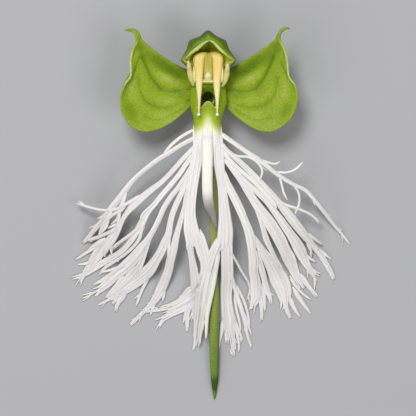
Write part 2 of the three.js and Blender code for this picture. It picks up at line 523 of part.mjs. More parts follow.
/** Large block under the surface, to cut a resting flat. */
function underground() {
  const corner = (x, y, z) => new THREE.Vector3(x * SLAB, y * SLAB, z);
  const ring = (z) => [corner(-1, -1, z), corner(1, -1, z), corner(1, 1, z), corner(-1, 1, z)];
  return solid(skin([ring(-SLAB), ring(0)]));
}

/** Ball of the viscidium at a plan point. */
function ball([x, y, z]) {
  const rings = 6;
  const sides = 8;
  const stations = Array.from({ length: rings + 1 }, (_, i) => {
    const angle = THREE.MathUtils.lerp(0.12, 0.88, i / rings) * Math.PI;
    const across = 2 * VISCIDIUM_RADIUS * Math.sin(angle);
    return [x, y - (VISCIDIUM_RADIUS * Math.cos(angle)) / UNIT, across / UNIT, across, z];
  });
  return rod(stations, sides);
}

const shapes = {
  dorsal_sepal: [vaultBlade(HOOD_ROWS, 0, 1, 16), LOOKS.hood],
  petal_left: [petal(0, 0.5 - PETAL_MEET), LOOKS.petal],
  petal_right: [petal(0.5 + PETAL_MEET, 1), LOOKS.petal],
  lateral_sepal_left: [lateralSepal(SEPAL_LEFT), LOOKS.sepal],
  lateral_sepal_right: [lateralSepal(SEPAL_RIGHT), LOOKS.sepal],
  column: [column(), LOOKS.column],
  anther_left: [rod(ANTHER_LEFT, 8), LOOKS.anther],
  anther_right: [rod(ANTHER_RIGHT, 8), LOOKS.anther],
  viscidium_left: [ball(VISCIDIA.viscidium_left), LOOKS.viscidium],
  viscidium_right: [ball(VISCIDIA.viscidium_right), LOOKS.viscidium],
  auricle_left: [rod(AURICLE_LEFT, 8), LOOKS.auricle],
  auricle_right: [rod(AURICLE_RIGHT, 8), LOOKS.auricle],
  lip: [lip(), LOOKS.lip],
  spur: [rod(SPUR, SPUR_SIDES).subtract(rod(SPUR_MOUTH, SPUR_SIDES)).subtract(underground()), LOOKS.spur],
  ovary: [rod(OVARY, OVARY_SIDES, OVARY_GROOVE).subtract(underground()), LOOKS.ovary],
};

const group = new THREE.Group();
for (const [name, [shape, look]] of Object.entries(shapes)) {
  const { vertProperties, triVerts } = shape.getMesh();
  const geometry = new THREE.BufferGeometry();
  geometry.setAttribute("position", new THREE.BufferAttribute(new Float32Array(vertProperties), 3));
  geometry.setIndex(new THREE.BufferAttribute(new Uint32Array(triVerts), 1));
  geometry.computeVertexNormals();
  const mesh = new THREE.Mesh(geometry, new THREE.MeshStandardMaterial(look));
  mesh.name = name;
  group.add(mesh);
}

// The origin is under the middle of the flower, on the surface that it lies on.
const box = new THREE.Box3().setFromObject(group);
const middle = box.getCenter(new THREE.Vector3());
for (const mesh of group.children) {
  mesh.geometry.translate(-middle.x, -middle.y, -box.min.z);
}

export default group;
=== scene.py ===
"""A picked orchid flower with a fringed white lip, lying face up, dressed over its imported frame.

The flower is read as a plan: x from its left to its right, y from its hood down to its spur's tip,
both in plan units of 0.11 mm, with heights in millimetres above the surface that it lies on.
"""

import logging
import math
import random
from dataclasses import dataclass, field
from enum import Enum
from typing import Callable, Sequence

import bmesh
import bpy
import numpy as np
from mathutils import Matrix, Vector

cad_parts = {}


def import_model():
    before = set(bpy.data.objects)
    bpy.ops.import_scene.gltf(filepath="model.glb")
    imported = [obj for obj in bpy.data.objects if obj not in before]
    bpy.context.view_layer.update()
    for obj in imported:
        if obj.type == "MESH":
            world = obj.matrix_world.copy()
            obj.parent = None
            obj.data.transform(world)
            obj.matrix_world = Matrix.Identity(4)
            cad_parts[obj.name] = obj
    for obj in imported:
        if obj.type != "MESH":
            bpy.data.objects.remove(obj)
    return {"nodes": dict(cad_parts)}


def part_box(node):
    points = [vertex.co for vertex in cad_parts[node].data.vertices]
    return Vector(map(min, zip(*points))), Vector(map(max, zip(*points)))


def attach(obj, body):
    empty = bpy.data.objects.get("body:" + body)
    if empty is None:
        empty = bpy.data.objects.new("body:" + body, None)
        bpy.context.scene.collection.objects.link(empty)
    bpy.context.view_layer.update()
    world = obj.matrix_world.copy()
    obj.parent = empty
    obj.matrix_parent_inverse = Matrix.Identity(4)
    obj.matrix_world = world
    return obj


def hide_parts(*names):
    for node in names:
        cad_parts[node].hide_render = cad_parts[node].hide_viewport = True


LOG = logging.getLogger("flower")
MM = 0.001
PLAN_UNIT = 0.11
PLAN_WIDTH = 416.0
MIDLINE = 208.0
Colour = tuple[float, float, float]
Rows = Sequence[Sequence[float]]


# Curves and plan


@dataclass(frozen=True)
class Plan:
    """Places plan points in the frame.

    Attributes:
        unit: Millimetres in one plan unit.
        origin_x: Plan x over the frame's origin.
        origin_y: Plan y over the frame's origin.
    """

    unit: float
    origin_x: float
    origin_y: float

    @classmethod
    def from_frame(cls) -> "Plan":
        """Reads the plan's place off two small nodes whose plan points are known.

        Returns:
            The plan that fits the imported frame.
        """
        low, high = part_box("viscidium_left")
        centre_x = (low[0] + high[0]) / 2 / MM
        tip_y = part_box("spur")[0][1] / MM
        disc_x = DISC_LEFT[0]
        spur_tip_y = SPUR[-1][1]
        return cls(PLAN_UNIT, disc_x - centre_x / PLAN_UNIT, spur_tip_y + tip_y / PLAN_UNIT)

    def at(self, x: np.ndarray, y: np.ndarray, z: np.ndarray) -> np.ndarray:
        """Points in metres.

        Args:
            x: Plan x.
            y: Plan y.
            z: Height in millimetres.

        Returns:
            An array of points whose last axis is x, y, z.
        """
        x, y, z = np.broadcast_arrays(x, y, z)
        return np.stack(((x - self.origin_x) * self.unit, (self.origin_y - y) * self.unit, z), axis=-1) * MM


def smoothstep(low: float | np.ndarray, high: float | np.ndarray, value: np.ndarray) -> np.ndarray:
    """Smooth rise from 0 at low to 1 at high."""
    share = np.clip((np.asarray(value, float) - low) / (high - low), 0.0, 1.0)
    return share * share * (3 - 2 * share)


def through(values: Rows, samples: int, by: int = 2) -> np.ndarray:
    """Smooth curve through rows of values, evenly sampled along its first columns.

    Args:
        values: Rows of numbers, one row for each station.
        samples: How many rows to return.
        by: How many leading columns measure the distance between stations.

    Returns:
        The sampled rows.
    """
    table = np.asarray(values, float)
    steps = np.linalg.norm(np.diff(table[:, :by], axis=0), axis=1)
    at = np.concatenate(([0.0], np.cumsum(np.maximum(steps, 1e-6))))
    slope = np.gradient(table, at, axis=0)
    want = np.linspace(0, at[-1], samples)
    seat = np.clip(np.searchsorted(at, want, side="right") - 1, 0, len(at) - 2)
    span = (at[seat + 1] - at[seat])[:, None]
    t = (want - at[seat])[:, None] / span
    return (
        (2 * t**3 - 3 * t**2 + 1) * table[seat]
        + (t**3 - 2 * t**2 + t) * span * slope[seat]
        + (3 * t**2 - 2 * t**3) * table[seat + 1]
        + (t**3 - t**2) * span * slope[seat + 1]
    )


def length_of(path: np.ndarray) -> float:
    """Length of a plan path in plan units."""
    return float(np.linalg.norm(np.diff(path[:, :2], axis=0), axis=1).sum())


def distance_to(path: np.ndarray, x: np.ndarray, y: np.ndarray) -> np.ndarray:
    """Distance from plan points to a polyline.

    Args:
        path: Plan points of the polyline.
        x: Plan x of the points.
        y: Plan y of the points.

    Returns:
        The shortest distance of each point, in plan units.
    """
    best = np.full(np.shape(x), np.inf)
    for start, end in zip(path[:-1], path[1:]):
        run = end - start
        share = np.clip(((x - start[0]) * run[0] + (y - start[1]) * run[1]) / (run @ run), 0, 1)
        best = np.minimum(best, np.hypot(x - start[0] - share * run[0], y - start[1] - share * run[1]))
    return best


@dataclass(frozen=True)
class Zone:
    """A soft oval patch on the plan, where the shade ramp is deeper or lighter: painted light and shade, or
    the tissue's own tone.

    Attributes:
        x: Plan x of its middle.
        y: Plan y of its middle.
        long: Reach along its turn, in plan units.
        short: Reach across its turn, in plan units.
        turn: Its turn in degrees.
        amount: What it adds to the shade at its middle.
    """

    x: float
    y: float
    long: float
    short: float
    turn: float
    amount: float

    def on(self, x: np.ndarray, y: np.ndarray) -> np.ndarray:
        """What the patch adds to the shade.

        Args:
            x: Plan x of the points.
            y: Plan y of the points.

        Returns:
            The amount at each point.
        """
        angle = math.radians(self.turn)
        along = (x - self.x) * math.cos(angle) + (y - self.y) * math.sin(angle)
        across = (y - self.y) * math.cos(angle) - (x - self.x) * math.sin(angle)
        return self.amount * np.exp(-((along / self.long) ** 2) - (across / self.short) ** 2)


# Meshes


@dataclass
class Tissue:
    """Grows one mesh out of closed skins, with what its finish reads at each point.

    Attributes:
        points: Arrays of points in metres.
        faces: Faces as indices into all points.
        shade: Place on the finish's colour ramp, from 0 to 1.
        deep: How much painted shade darkens a hollow, from 0 to 1.
        flow: Length along, length across and a number of the strand, for streaks.
        count: How many points there are so far.
    """

    points: list[np.ndarray] = field(default_factory=list)
    faces: list[list[int]] = field(default_factory=list)
    shade: list[np.ndarray] = field(default_factory=list)
    deep: list[np.ndarray] = field(default_factory=list)
    flow: list[np.ndarray] = field(default_factory=list)
    count: int = 0

    def _keep(
        self,
        points: np.ndarray,
        faces: list[list[int]],
        shade: np.ndarray,
        deep: np.ndarray,
        flow: np.ndarray,
    ) -> None:
        """Adds one closed skin, its faces turned to point out.

        Args:
            points: Points of the skin.
            faces: Faces as indices into these points.
            shade: Shade at each point.
            deep: Painted hollow shade at each point.
            flow: Flow at each point.
        """
        corners = np.array([face[:3] for face in faces])
        fourth = np.array([face[-1] for face in faces])
        a, b, c, d = points[corners[:, 0]], points[corners[:, 1]], points[corners[:, 2]], points[fourth]
        middle = points.mean(axis=0)
        inside = np.einsum("ij,ij->i", a - middle, np.cross(b - middle, c - middle)).sum()
        inside += np.einsum("ij,ij->i", a - middle, np.cross(c - middle, d - middle)).sum()
        step = -1 if inside < 0 else 1
        self.faces.extend([[index + self.count for index in face][::step] for face in faces])
        self.points.append(points)
        self.shade.append(shade)
        self.deep.append(deep)
        self.flow.append(flow)
        self.count += len(points)

    def tube(self, rings: np.ndarray, shade: np.ndarray, across: float = 1.0, strand: float = 0.0) -> None:
        """Adds a closed tube.

        Args:
            rings: Points by station and by place round the ring.
            shade: Shade by station and place, or by station.
            across: Width in millimetres that the streaks run over.
            strand: Number that sets this tube's streaks apart.
        """
        stations, sides = rings.shape[:2]
        by_station = shade if np.ndim(shade) == 2 else np.asarray(shade)[:, None]
        shade = np.broadcast_to(by_station, (stations, sides))
        faces = []
        for i in range(stations - 1):
            for k in range(sides):
                a, b = i * sides + k, i * sides + (k + 1) % sides
                faces.append([a, b, b + sides, a + sides])
        last = (stations - 1) * sides
        faces.append(list(range(sides))[::-1])
        faces.append([last + k for k in range(sides)])
        steps = np.linalg.norm(np.diff(rings.mean(axis=1), axis=0), axis=1) / MM
        along = np.concatenate(([0.0], np.cumsum(steps)))
        wave = np.cos(np.arange(sides) / sides * 2 * math.pi) * across / 2
        flow = np.stack(np.broadcast_arrays(along[:, None], wave[None, :], strand), axis=-1)
        flat = rings.reshape(-1, 3)
        self._keep(flat, faces, shade.reshape(-1), np.zeros(len(flat)), flow.reshape(-1, 3))

    def sheet(
        self,
        top: np.ndarray,
        bottom: np.ndarray,
        shade: np.ndarray,
        deep: np.ndarray | float = 0.0,
        hole: np.ndarray | None = None,
    ) -> None:
        """Adds a closed sheet between two grids of points.

        Args:
            top: Upper points by row and column.
            bottom: Lower points by row and column.
            shade: Shade by row and column.
            deep: Painted hollow shade by row and column, for the upper face; the lower face takes half of
                it.
            hole: By row and column, true where the sheet is cut through.
        """
        rows, columns = top.shape[:2]
        size = rows * columns
        faces = []
        edges = set()
        for i in range(rows - 1):
            for j in range(columns - 1):
                if hole is not None and hole[i : i + 2, j : j + 2].all():
                    continue
                a = i * columns + j
                quad = [a, a + 1, a + 1 + columns, a + columns]
                faces.append(quad)
                faces.append([size + index for index in quad][::-1])
                edges.update(zip(quad, quad[1:] + quad[:1]))
        for here, there in sorted(edges):
            if (there, here) not in edges:
                faces.append([there, here, size + here, size + there])
        downs = np.linalg.norm(np.diff(top, axis=0), axis=2).mean(axis=1) / MM
        overs = np.linalg.norm(np.diff(top, axis=1), axis=2).mean(axis=0) / MM
        along = np.concatenate(([0.0], np.cumsum(downs)))
        across = np.concatenate(([0.0], np.cumsum(overs)))
        flow = np.stack(np.broadcast_arrays(along[:, None], across[None, :], 0.0), axis=-1).reshape(-1, 3)
        depth = np.broadcast_to(deep, (rows, columns)).reshape(-1)
        self._keep(
            np.concatenate((top.reshape(-1, 3), bottom.reshape(-1, 3))),
            faces,
            np.tile(np.asarray(shade, float).reshape(-1), 2),
            np.concatenate((depth, depth * 0.5)),
            np.tile(flow, (2, 1)),
        )

    def piece(self, name: str, finish: "Finish", slot: str, *nodes: str) -> bpy.types.Object:
        """Makes the object, dresses it and sets it on the flower.

        Args:
            name: Name of the piece.
            finish: Its finish.
            slot: Name of a material slot; not used.
            nodes: The solids that it stands for.

        Returns:
            The new object.
        """
        mesh = bpy.data.meshes.new(name)
        mesh.from_pydata(np.concatenate(self.points).tolist(), [], self.faces)
        used = np.unique(np.concatenate([np.ravel(face) for face in self.faces]))
        loose = np.setdiff1d(np.arange(self.count), used)
        for label, kind, data in (
            ("shade", "FLOAT", np.concatenate(self.shade)),
            ("deep", "FLOAT", np.concatenate(self.deep)),
            ("flow", "FLOAT_VECTOR", np.concatenate(self.flow)),
        ):
            layer = mesh.attributes.new(label, kind, "POINT")
            field_name = "vector" if kind == "FLOAT_VECTOR" else "value"
            layer.data.foreach_set(field_name, data.reshape(-1).astype(np.float32))
        mesh.polygons.foreach_set("use_smooth", [True] * len(mesh.polygons))
        mesh.materials.append(finish.material())
        mesh.update()
        if len(loose):
            work = bmesh.new()
            work.from_mesh(mesh)
            work.verts.ensure_lookup_table()
            bmesh.ops.delete(work, geom=[work.verts[int(index)] for index in loose], context="VERTS")
            work.to_mesh(mesh)
            work.free()
        item = bpy.data.objects.new(name, mesh)
        bpy.context.scene.collection.objects.link(item)
        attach(item, "root")
        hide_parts(*nodes)
        counts = (len(mesh.vertices), len(mesh.polygons))
        LOG.info("%s: %d points, %d faces for %s", name, *counts, ", ".join(nodes))
        return item


def normals_of(grid: np.ndarray) -> np.ndarray:
    """Unit normals of a grid of points.

    Args:
        grid: Points by row and column, laid left to right and top down.

    Returns:
        The normals, pointing up.
    """
    down = np.gradient(grid, axis=0)
    over = np.gradient(grid, axis=1)
    normal = np.cross(down, over)
    return normal / np.maximum(np.linalg.norm(normal, axis=2, keepdims=True), 1e-12)


def rod_rings(
    plan: Plan, stations: np.ndarray, sides: int, bend: Callable[[float, float], float] | None = None
) -> np.ndarray:
    """Rings of an oval rod.

    Args:
        plan: The plan.
        stations: Rows of plan x, plan y, width in plan units, depth in mm, height in mm, and maybe a turn.
        sides: Points round a ring.
        bend: Factor on the radius for a share along and an angle round the rod.

    Returns:
        Points in metres by station and place.
    """
    spine = plan.at(stations[:, 0], stations[:, 1], stations[:, 4])
    travel = np.gradient(spine, axis=0)
    travel /= np.maximum(np.linalg.norm(travel, axis=1, keepdims=True), 1e-12)
    side = np.array([1.0, 0.0, 0.0]) - travel[:, :1] * travel
    side /= np.linalg.norm(side, axis=1, keepdims=True)
    up = np.cross(side, travel)
    if stations.shape[1] > 5:
        turn = stations[:, 5:6]
        side, up = side * np.cos(turn) + up * np.sin(turn), up * np.cos(turn) - side * np.sin(turn)
    angle = np.arange(sides) / sides * 2 * math.pi
    factor = np.ones((len(spine), sides))
    if bend is not None:
        factor = np.array([[bend(i / (len(spine) - 1), a) for a in angle] for i in range(len(spine))])
    wide = stations[:, 2, None] * plan.unit * MM / 2 * np.cos(angle) * factor
    tall = stations[:, 3, None] * MM / 2 * np.sin(angle) * factor
    return spine[:, None] + wide[:, :, None] * side[:, None] + tall[:, :, None] * up[:, None]


# Finishes


class Effect(Enum):
    """Shared shader effects, built once as node groups."""

    CELLS = "leaf_cells"
    FIBRES = "fibre_streaks"


def wire_cells(
    tree: bpy.types.NodeTree, inputs: bpy.types.Node
) -> tuple[bpy.types.NodeSocket, float, float]:
    """Wires fine cells with soft spots between them.

    Args:
        tree: The effect's node tree.
        inputs: Its input node, with Vector and Scale.

    Returns:
        The raw value, and the values that stand for mask 0 and 1.
    """
    cells = tree.nodes.new("ShaderNodeTexVoronoi")
    cells.feature = "SMOOTH_F1"
    cells.inputs["Smoothness"].default_value = 0.6
    spots = tree.nodes.new("ShaderNodeTexNoise")
    spots.inputs["Detail"].default_value = 3.0
    both = tree.nodes.new("ShaderNodeMath")
    both.operation = "ADD"
    for node in (cells, spots):
        tree.links.new(inputs.outputs["Vector"], node.inputs["Vector"])
        tree.links.new(inputs.outputs["Scale"], node.inputs["Scale"])
    tree.links.new(cells.outputs["Distance"], both.inputs[0])
    tree.links.new(spots.outputs["Fac"], both.inputs[1])
    return both.outputs[0], 0.55, 1.25


def wire_fibres(
    tree: bpy.types.NodeTree, inputs: bpy.types.Node
) -> tuple[bpy.types.NodeSocket, float, float]:
    """Wires streaks that run along the first axis of the vector.

    Args:
        tree: The effect's node tree.
        inputs: Its input node, with Vector and Scale.

    Returns:
        The raw value, and the values that stand for mask 0 and 1.
    """
    split = tree.nodes.new("ShaderNodeSeparateXYZ")
    slow = tree.nodes.new("ShaderNodeMath")
    slow.operation = "MULTIPLY"
    slow.inputs[1].default_value = 0.06
    join = tree.nodes.new("ShaderNodeCombineXYZ")
    streaks = tree.nodes.new("ShaderNodeTexNoise")
    streaks.inputs["Detail"].default_value = 2.0
    tree.links.new(inputs.outputs["Vector"], split.inputs["Vector"])
    tree.links.new(split.outputs["X"], slow.inputs[0])
    tree.links.new(slow.outputs[0], join.inputs["X"])
    tree.links.new(split.outputs["Y"], join.inputs["Y"])
    tree.links.new(split.outputs["Z"], join.inputs["Z"])
    tree.links.new(join.outputs["Vector"], streaks.inputs["Vector"])
    tree.links.new(inputs.outputs["Scale"], streaks.inputs["Scale"])
    return streaks.outputs["Fac"], 0.3, 0.7


def effect_group(effect: Effect) -> bpy.types.NodeTree:
    """The node group of an effect, built at its first use.

    Args:
        effect: Which effect.

    Returns:
        The node group, with a Mask output from 0 to 1.
    """
    if effect.value in bpy.data.node_groups:
        return bpy.data.node_groups[effect.value]
    tree = bpy.data.node_groups.new(effect.value, "ShaderNodeTree")
    tree.interface.new_socket("Vector", in_out="INPUT", socket_type="NodeSocketVector")
    tree.interface.new_socket("Scale", in_out="INPUT", socket_type="NodeSocketFloat")
    tree.interface.new_socket("Mask", in_out="OUTPUT", socket_type="NodeSocketFloat")
    inputs = tree.nodes.new("NodeGroupInput")
    outputs = tree.nodes.new("NodeGroupOutput")
    wire = wire_cells if effect is Effect.CELLS else wire_fibres
    value, low, high = wire(tree, inputs)
    spread = tree.nodes.new("ShaderNodeMapRange")
    spread.inputs["From Min"].default_value = low
    spread.inputs["From Max"].default_value = high
    tree.links.new(value, spread.inputs["Value"])
    tree.links.new(spread.outputs["Result"], outputs.inputs["Mask"])
    return tree


def srgb(code: str) -> Colour:
    """Linear colour of a six-digit code.

    Args:
        code: Red, green and blue, two digits each.

    Returns:
        The linear colour.
    """
    parts = [int(code[i : i + 2], 16) / 255 for i in (0, 2, 4)]
    return tuple(((v + 0.055) / 1.055) ** 2.4 if v > 0.04045 else v / 12.92 for v in parts)


@dataclass(frozen=True)
class Finish:
    """How one kind of flower tissue looks.

    Attributes:
        name: Name of the material.
        ramp: Places on the shade ramp and their colours.
        deep: Colour of the painted shade in a hollow; the cells and streaks also darken towards it.
        cell_size: Size of the fine cells in millimetres.
        cell_tint: How much the cells darken the colour.
        fibre_scale: Streaks in a millimetre across.
        fibre_tint: How much the streaks darken the colour.
        relief: Height of the fine relief in millimetres.
        roughness: Roughness of the surface.
        sheen: Strength of the reflection.
        glow: Share of light that spreads inside.
        wax: Strength of the clear wax on it.
    """

    name: str
    ramp: tuple[tuple[float, str], ...]
    deep: str = "202806"
    cell_size: float = 0.16
    cell_tint: float = 0.12
    fibre_scale: float = 3.0
    fibre_tint: float = 0.0
    relief: float = 0.012
    roughness: float = 0.5
    sheen: float = 0.16
    glow: float = 0.15
    wax: float = 0.0

    def shaded(self, tree: bpy.types.NodeTree) -> bpy.types.NodeSocket:
        """Wires the colour ramp, read by the shade of each point.

        Args:
            tree: The material's node tree.

        Returns:
            The ramp's colour.
        """
        shade = tree.nodes.new("ShaderNodeAttribute")
        shade.attribute_name = "shade"
        ramp = tree.nodes.new("ShaderNodeValToRGB")
        ramp.color_ramp.interpolation = "EASE" if len(self.ramp) < 3 else "LINEAR"
        while len(ramp.color_ramp.elements) < len(self.ramp):
            ramp.color_ramp.elements.new(1.0)
        for element, (at, code) in zip(ramp.color_ramp.elements, self.ramp):
            element.position = at
            element.color = (*srgb(code), 1.0)
        tree.links.new(shade.outputs["Fac"], ramp.inputs["Fac"])
        return ramp.outputs["Color"]

    def mask(
        self, tree: bpy.types.NodeTree, effect: Effect, scale: float, place: bpy.types.NodeSocket
    ) -> bpy.types.NodeSocket:
        """Wires a shared effect.

        Args:
            tree: The material's node tree.
            effect: Which effect.
            scale: Its scale.
            place: The vector that it runs over.

        Returns:
            Its mask.
        """
        group = tree.nodes.new("ShaderNodeGroup")
        group.node_tree = effect_group(effect)
        group.inputs["Scale"].default_value = scale
        tree.links.new(place, group.inputs["Vector"])
        return group.outputs["Mask"]

    def deepened(
        self,
        tree: bpy.types.NodeTree,
        colour: bpy.types.NodeSocket,
        factor: bpy.types.NodeSocket,
        blend: str,
    ) -> bpy.types.NodeSocket:
        """Mixes a colour with the colour of the painted hollow shade.

        Args:
            tree: The material's node tree.
            colour: The colour.
            factor: How much of that colour to take.
            blend: MIX or MULTIPLY.

        Returns:
            The mixed colour.
        """
        tint = tree.nodes.new("ShaderNodeMix")
        tint.data_type = "RGBA"
        tint.blend_type = blend
        tint.inputs["B"].default_value = (*srgb(self.deep), 1.0)
        tree.links.new(factor, tint.inputs["Factor"])
        tree.links.new(colour, tint.inputs["A"])
        return tint.outputs["Result"]

    def raised(
        self, tree: bpy.types.NodeTree, cells: bpy.types.NodeSocket, fibres: bpy.types.NodeSocket
    ) -> bpy.types.NodeSocket:
        """Wires the fine relief.

        Args:
            tree: The material's node tree.
            cells: Mask of the cells.
            fibres: Mask of the streaks.

        Returns:
            The bumped normal.
        """
        height = tree.nodes.new("ShaderNodeMath")
        height.operation = "ADD"
        tree.links.new(cells, height.inputs[0])
        tree.links.new(fibres, height.inputs[1])
        bump = tree.nodes.new("ShaderNodeBump")
        bump.inputs["Strength"].default_value = 0.6
        bump.inputs["Distance"].default_value = self.relief * MM
        tree.links.new(height.outputs[0], bump.inputs["Height"])
        return bump.outputs["Normal"]

    def material(self) -> bpy.types.Material:
        """The material, built at its first use.

        Returns:
            The material.
        """
        if self.name in bpy.data.materials:
            return bpy.data.materials[self.name]
        material = bpy.data.materials.new(self.name)
        material.use_nodes = True
        tree = material.node_tree
        nodes = tree.nodes
        links = tree.links
        shader = nodes["Principled BSDF"]
        flow = nodes.new("ShaderNodeAttribute")
        flow.attribute_name = "flow"
        deep = nodes.new("ShaderNodeAttribute")
        deep.attribute_name = "deep"
        place = nodes.new("ShaderNodeTexCoord")
        cells = self.mask(tree, Effect.CELLS, 1 / (self.cell_size * MM), place.outputs["Object"])
        fibres = self.mask(tree, Effect.FIBRES, self.fibre_scale, flow.outputs["Vector"])
        colour = self.shaded(tree)
        for mask, amount in ((cells, self.cell_tint), (fibres, self.fibre_tint)):
            share = nodes.new("ShaderNodeMath")
            share.operation = "MULTIPLY"
            share.inputs[1].default_value = amount
            links.new(mask, share.inputs[0])
            colour = self.deepened(tree, colour, share.outputs[0], "MULTIPLY")
        # The deep attribute mixes in the hollow colour: painted shade, used in the lip's throat.
        links.new(self.deepened(tree, colour, deep.outputs["Fac"], "MIX"), shader.inputs["Base Color"])
        links.new(self.raised(tree, cells, fibres), shader.inputs["Normal"])
        rough = nodes.new("ShaderNodeMapRange")
        rough.inputs["To Min"].default_value = self.roughness - 0.06
        rough.inputs["To Max"].default_value = self.roughness + 0.08
        links.new(cells, rough.inputs["Value"])
        links.new(rough.outputs["Result"], shader.inputs["Roughness"])
        shader.inputs["Specular IOR Level"].default_value = self.sheen
        shader.inputs["Subsurface Weight"].default_value = self.glow
        shader.inputs["Subsurface Radius"].default_value = (0.7, 1.0, 0.35)
        shader.inputs["Subsurface Scale"].default_value = 0.25 * MM
        shader.inputs["Coat Weight"].default_value = self.wax
        shader.inputs["Coat Roughness"].default_value = 0.25
        return material


SEPAL_SKIN = Finish(
    "sepal_skin",
    ((0.0, "C4D08E"), (0.2, "A4B646"), (0.42, "90A824"), (0.68, "748E14"), (1.0, "506C04")),
    cell_tint=0.26,
    cell_size=0.17,
    roughness=0.5,
    glow=0.15,
)
HOOD_SKIN = Finish(
    "hood_skin",
    ((0.0, "B8C880"), (0.3, "86A226"), (0.6, "5E7A08"), (1.0, "3A5002")),
    deep="2A3206",
    cell_tint=0.26,
    roughness=0.45,
    glow=0.3,
)
PETAL_SKIN = Finish(
    "petal_skin",
    ((0.0, "C6D292"), (0.25, "C2CE68"), (0.5, "CCDA1E"), (0.8, "8C9C0A"), (1.0, "6E8004")),
    deep="39400A",
    cell_tint=0.18,
    roughness=0.45,
    glow=0.5,
)
POLLEN_CASE = Finish(
    "pollen_case",
    ((0.0, "F0E6B6"), (0.35, "E9D588"), (0.7, "DCC25A"), (1.0, "C6A634")),
    deep="A8862A",
    cell_tint=0.06,
    fibre_tint=0.1,
    roughness=0.38,
    glow=0.25,
    sheen=0.3,
)
COLUMN_SKIN = Finish(
    "column_skin",
    ((0.0, "EAE3A8"), (0.3, "DCD47A"), (0.6, "B0A94C"), (0.8, "C0BE4A"), (1.0, "A8B030")),
    deep="4B5210",
    cell_tint=0.12,
    roughness=0.42,
    glow=0.25,
)
AURICLE_SKIN = Finish(
    "auricle_skin",
    ((0.0, "EAE4AE"), (0.5, "DED68C"), (1.0, "C4C256")),
    deep="7C7C28",
    cell_tint=0.25,
    relief=0.03,
    roughness=0.45,
    glow=0.25,
)
STICKY_DISC = Finish(
    "sticky_disc",
    ((0.0, "F7F9FF"), (1.0, "E9F0FF")),
    cell_tint=0.02,
    relief=0.002,
    roughness=0.12,
    sheen=0.5,
    wax=0.8,
)
# Below 0.4 the ramp turns grey: painted shade on the strap's tail and in the folds beside it; the fringe's
# threads dip into it a little. The hollow colour is the throat's painted shade.
LIP_SKIN = Finish(
    "lip_skin",
    (
        (0.0, "958F8B"),
        (0.2, "C6C0BE"),
        (0.4, "F4F2F0"),
        (0.52, "F0F0D2"),
        (0.66, "CDD37C"),
        (0.8, "9DB02E"),
        (1.0, "86A014"),
    ),
    deep="728C06",
    cell_tint=0.05,
    fibre_scale=5.0,
    fibre_tint=0.12,
    relief=0.02,
    roughness=0.5,
    glow=0.2,
)
SPUR_SKIN = Finish(
    "spur_skin",
    ((0.0, "B8C070"), (0.3, "A0AE54"), (0.6, "708838"), (0.8, "58762A"), (1.0, "3A5604")),
    cell_tint=0.2,
    fibre_scale=4.0,
    fibre_tint=0.15,
    roughness=0.4,
    glow=0.25,
)
OVARY_SKIN = Finish(
    "ovary_skin", ((0.0, "A8B767"), (0.5, "7F9640"), (1.0, "526A1C")), fibre_tint=0.2, roughness=0.45
)


# The flower


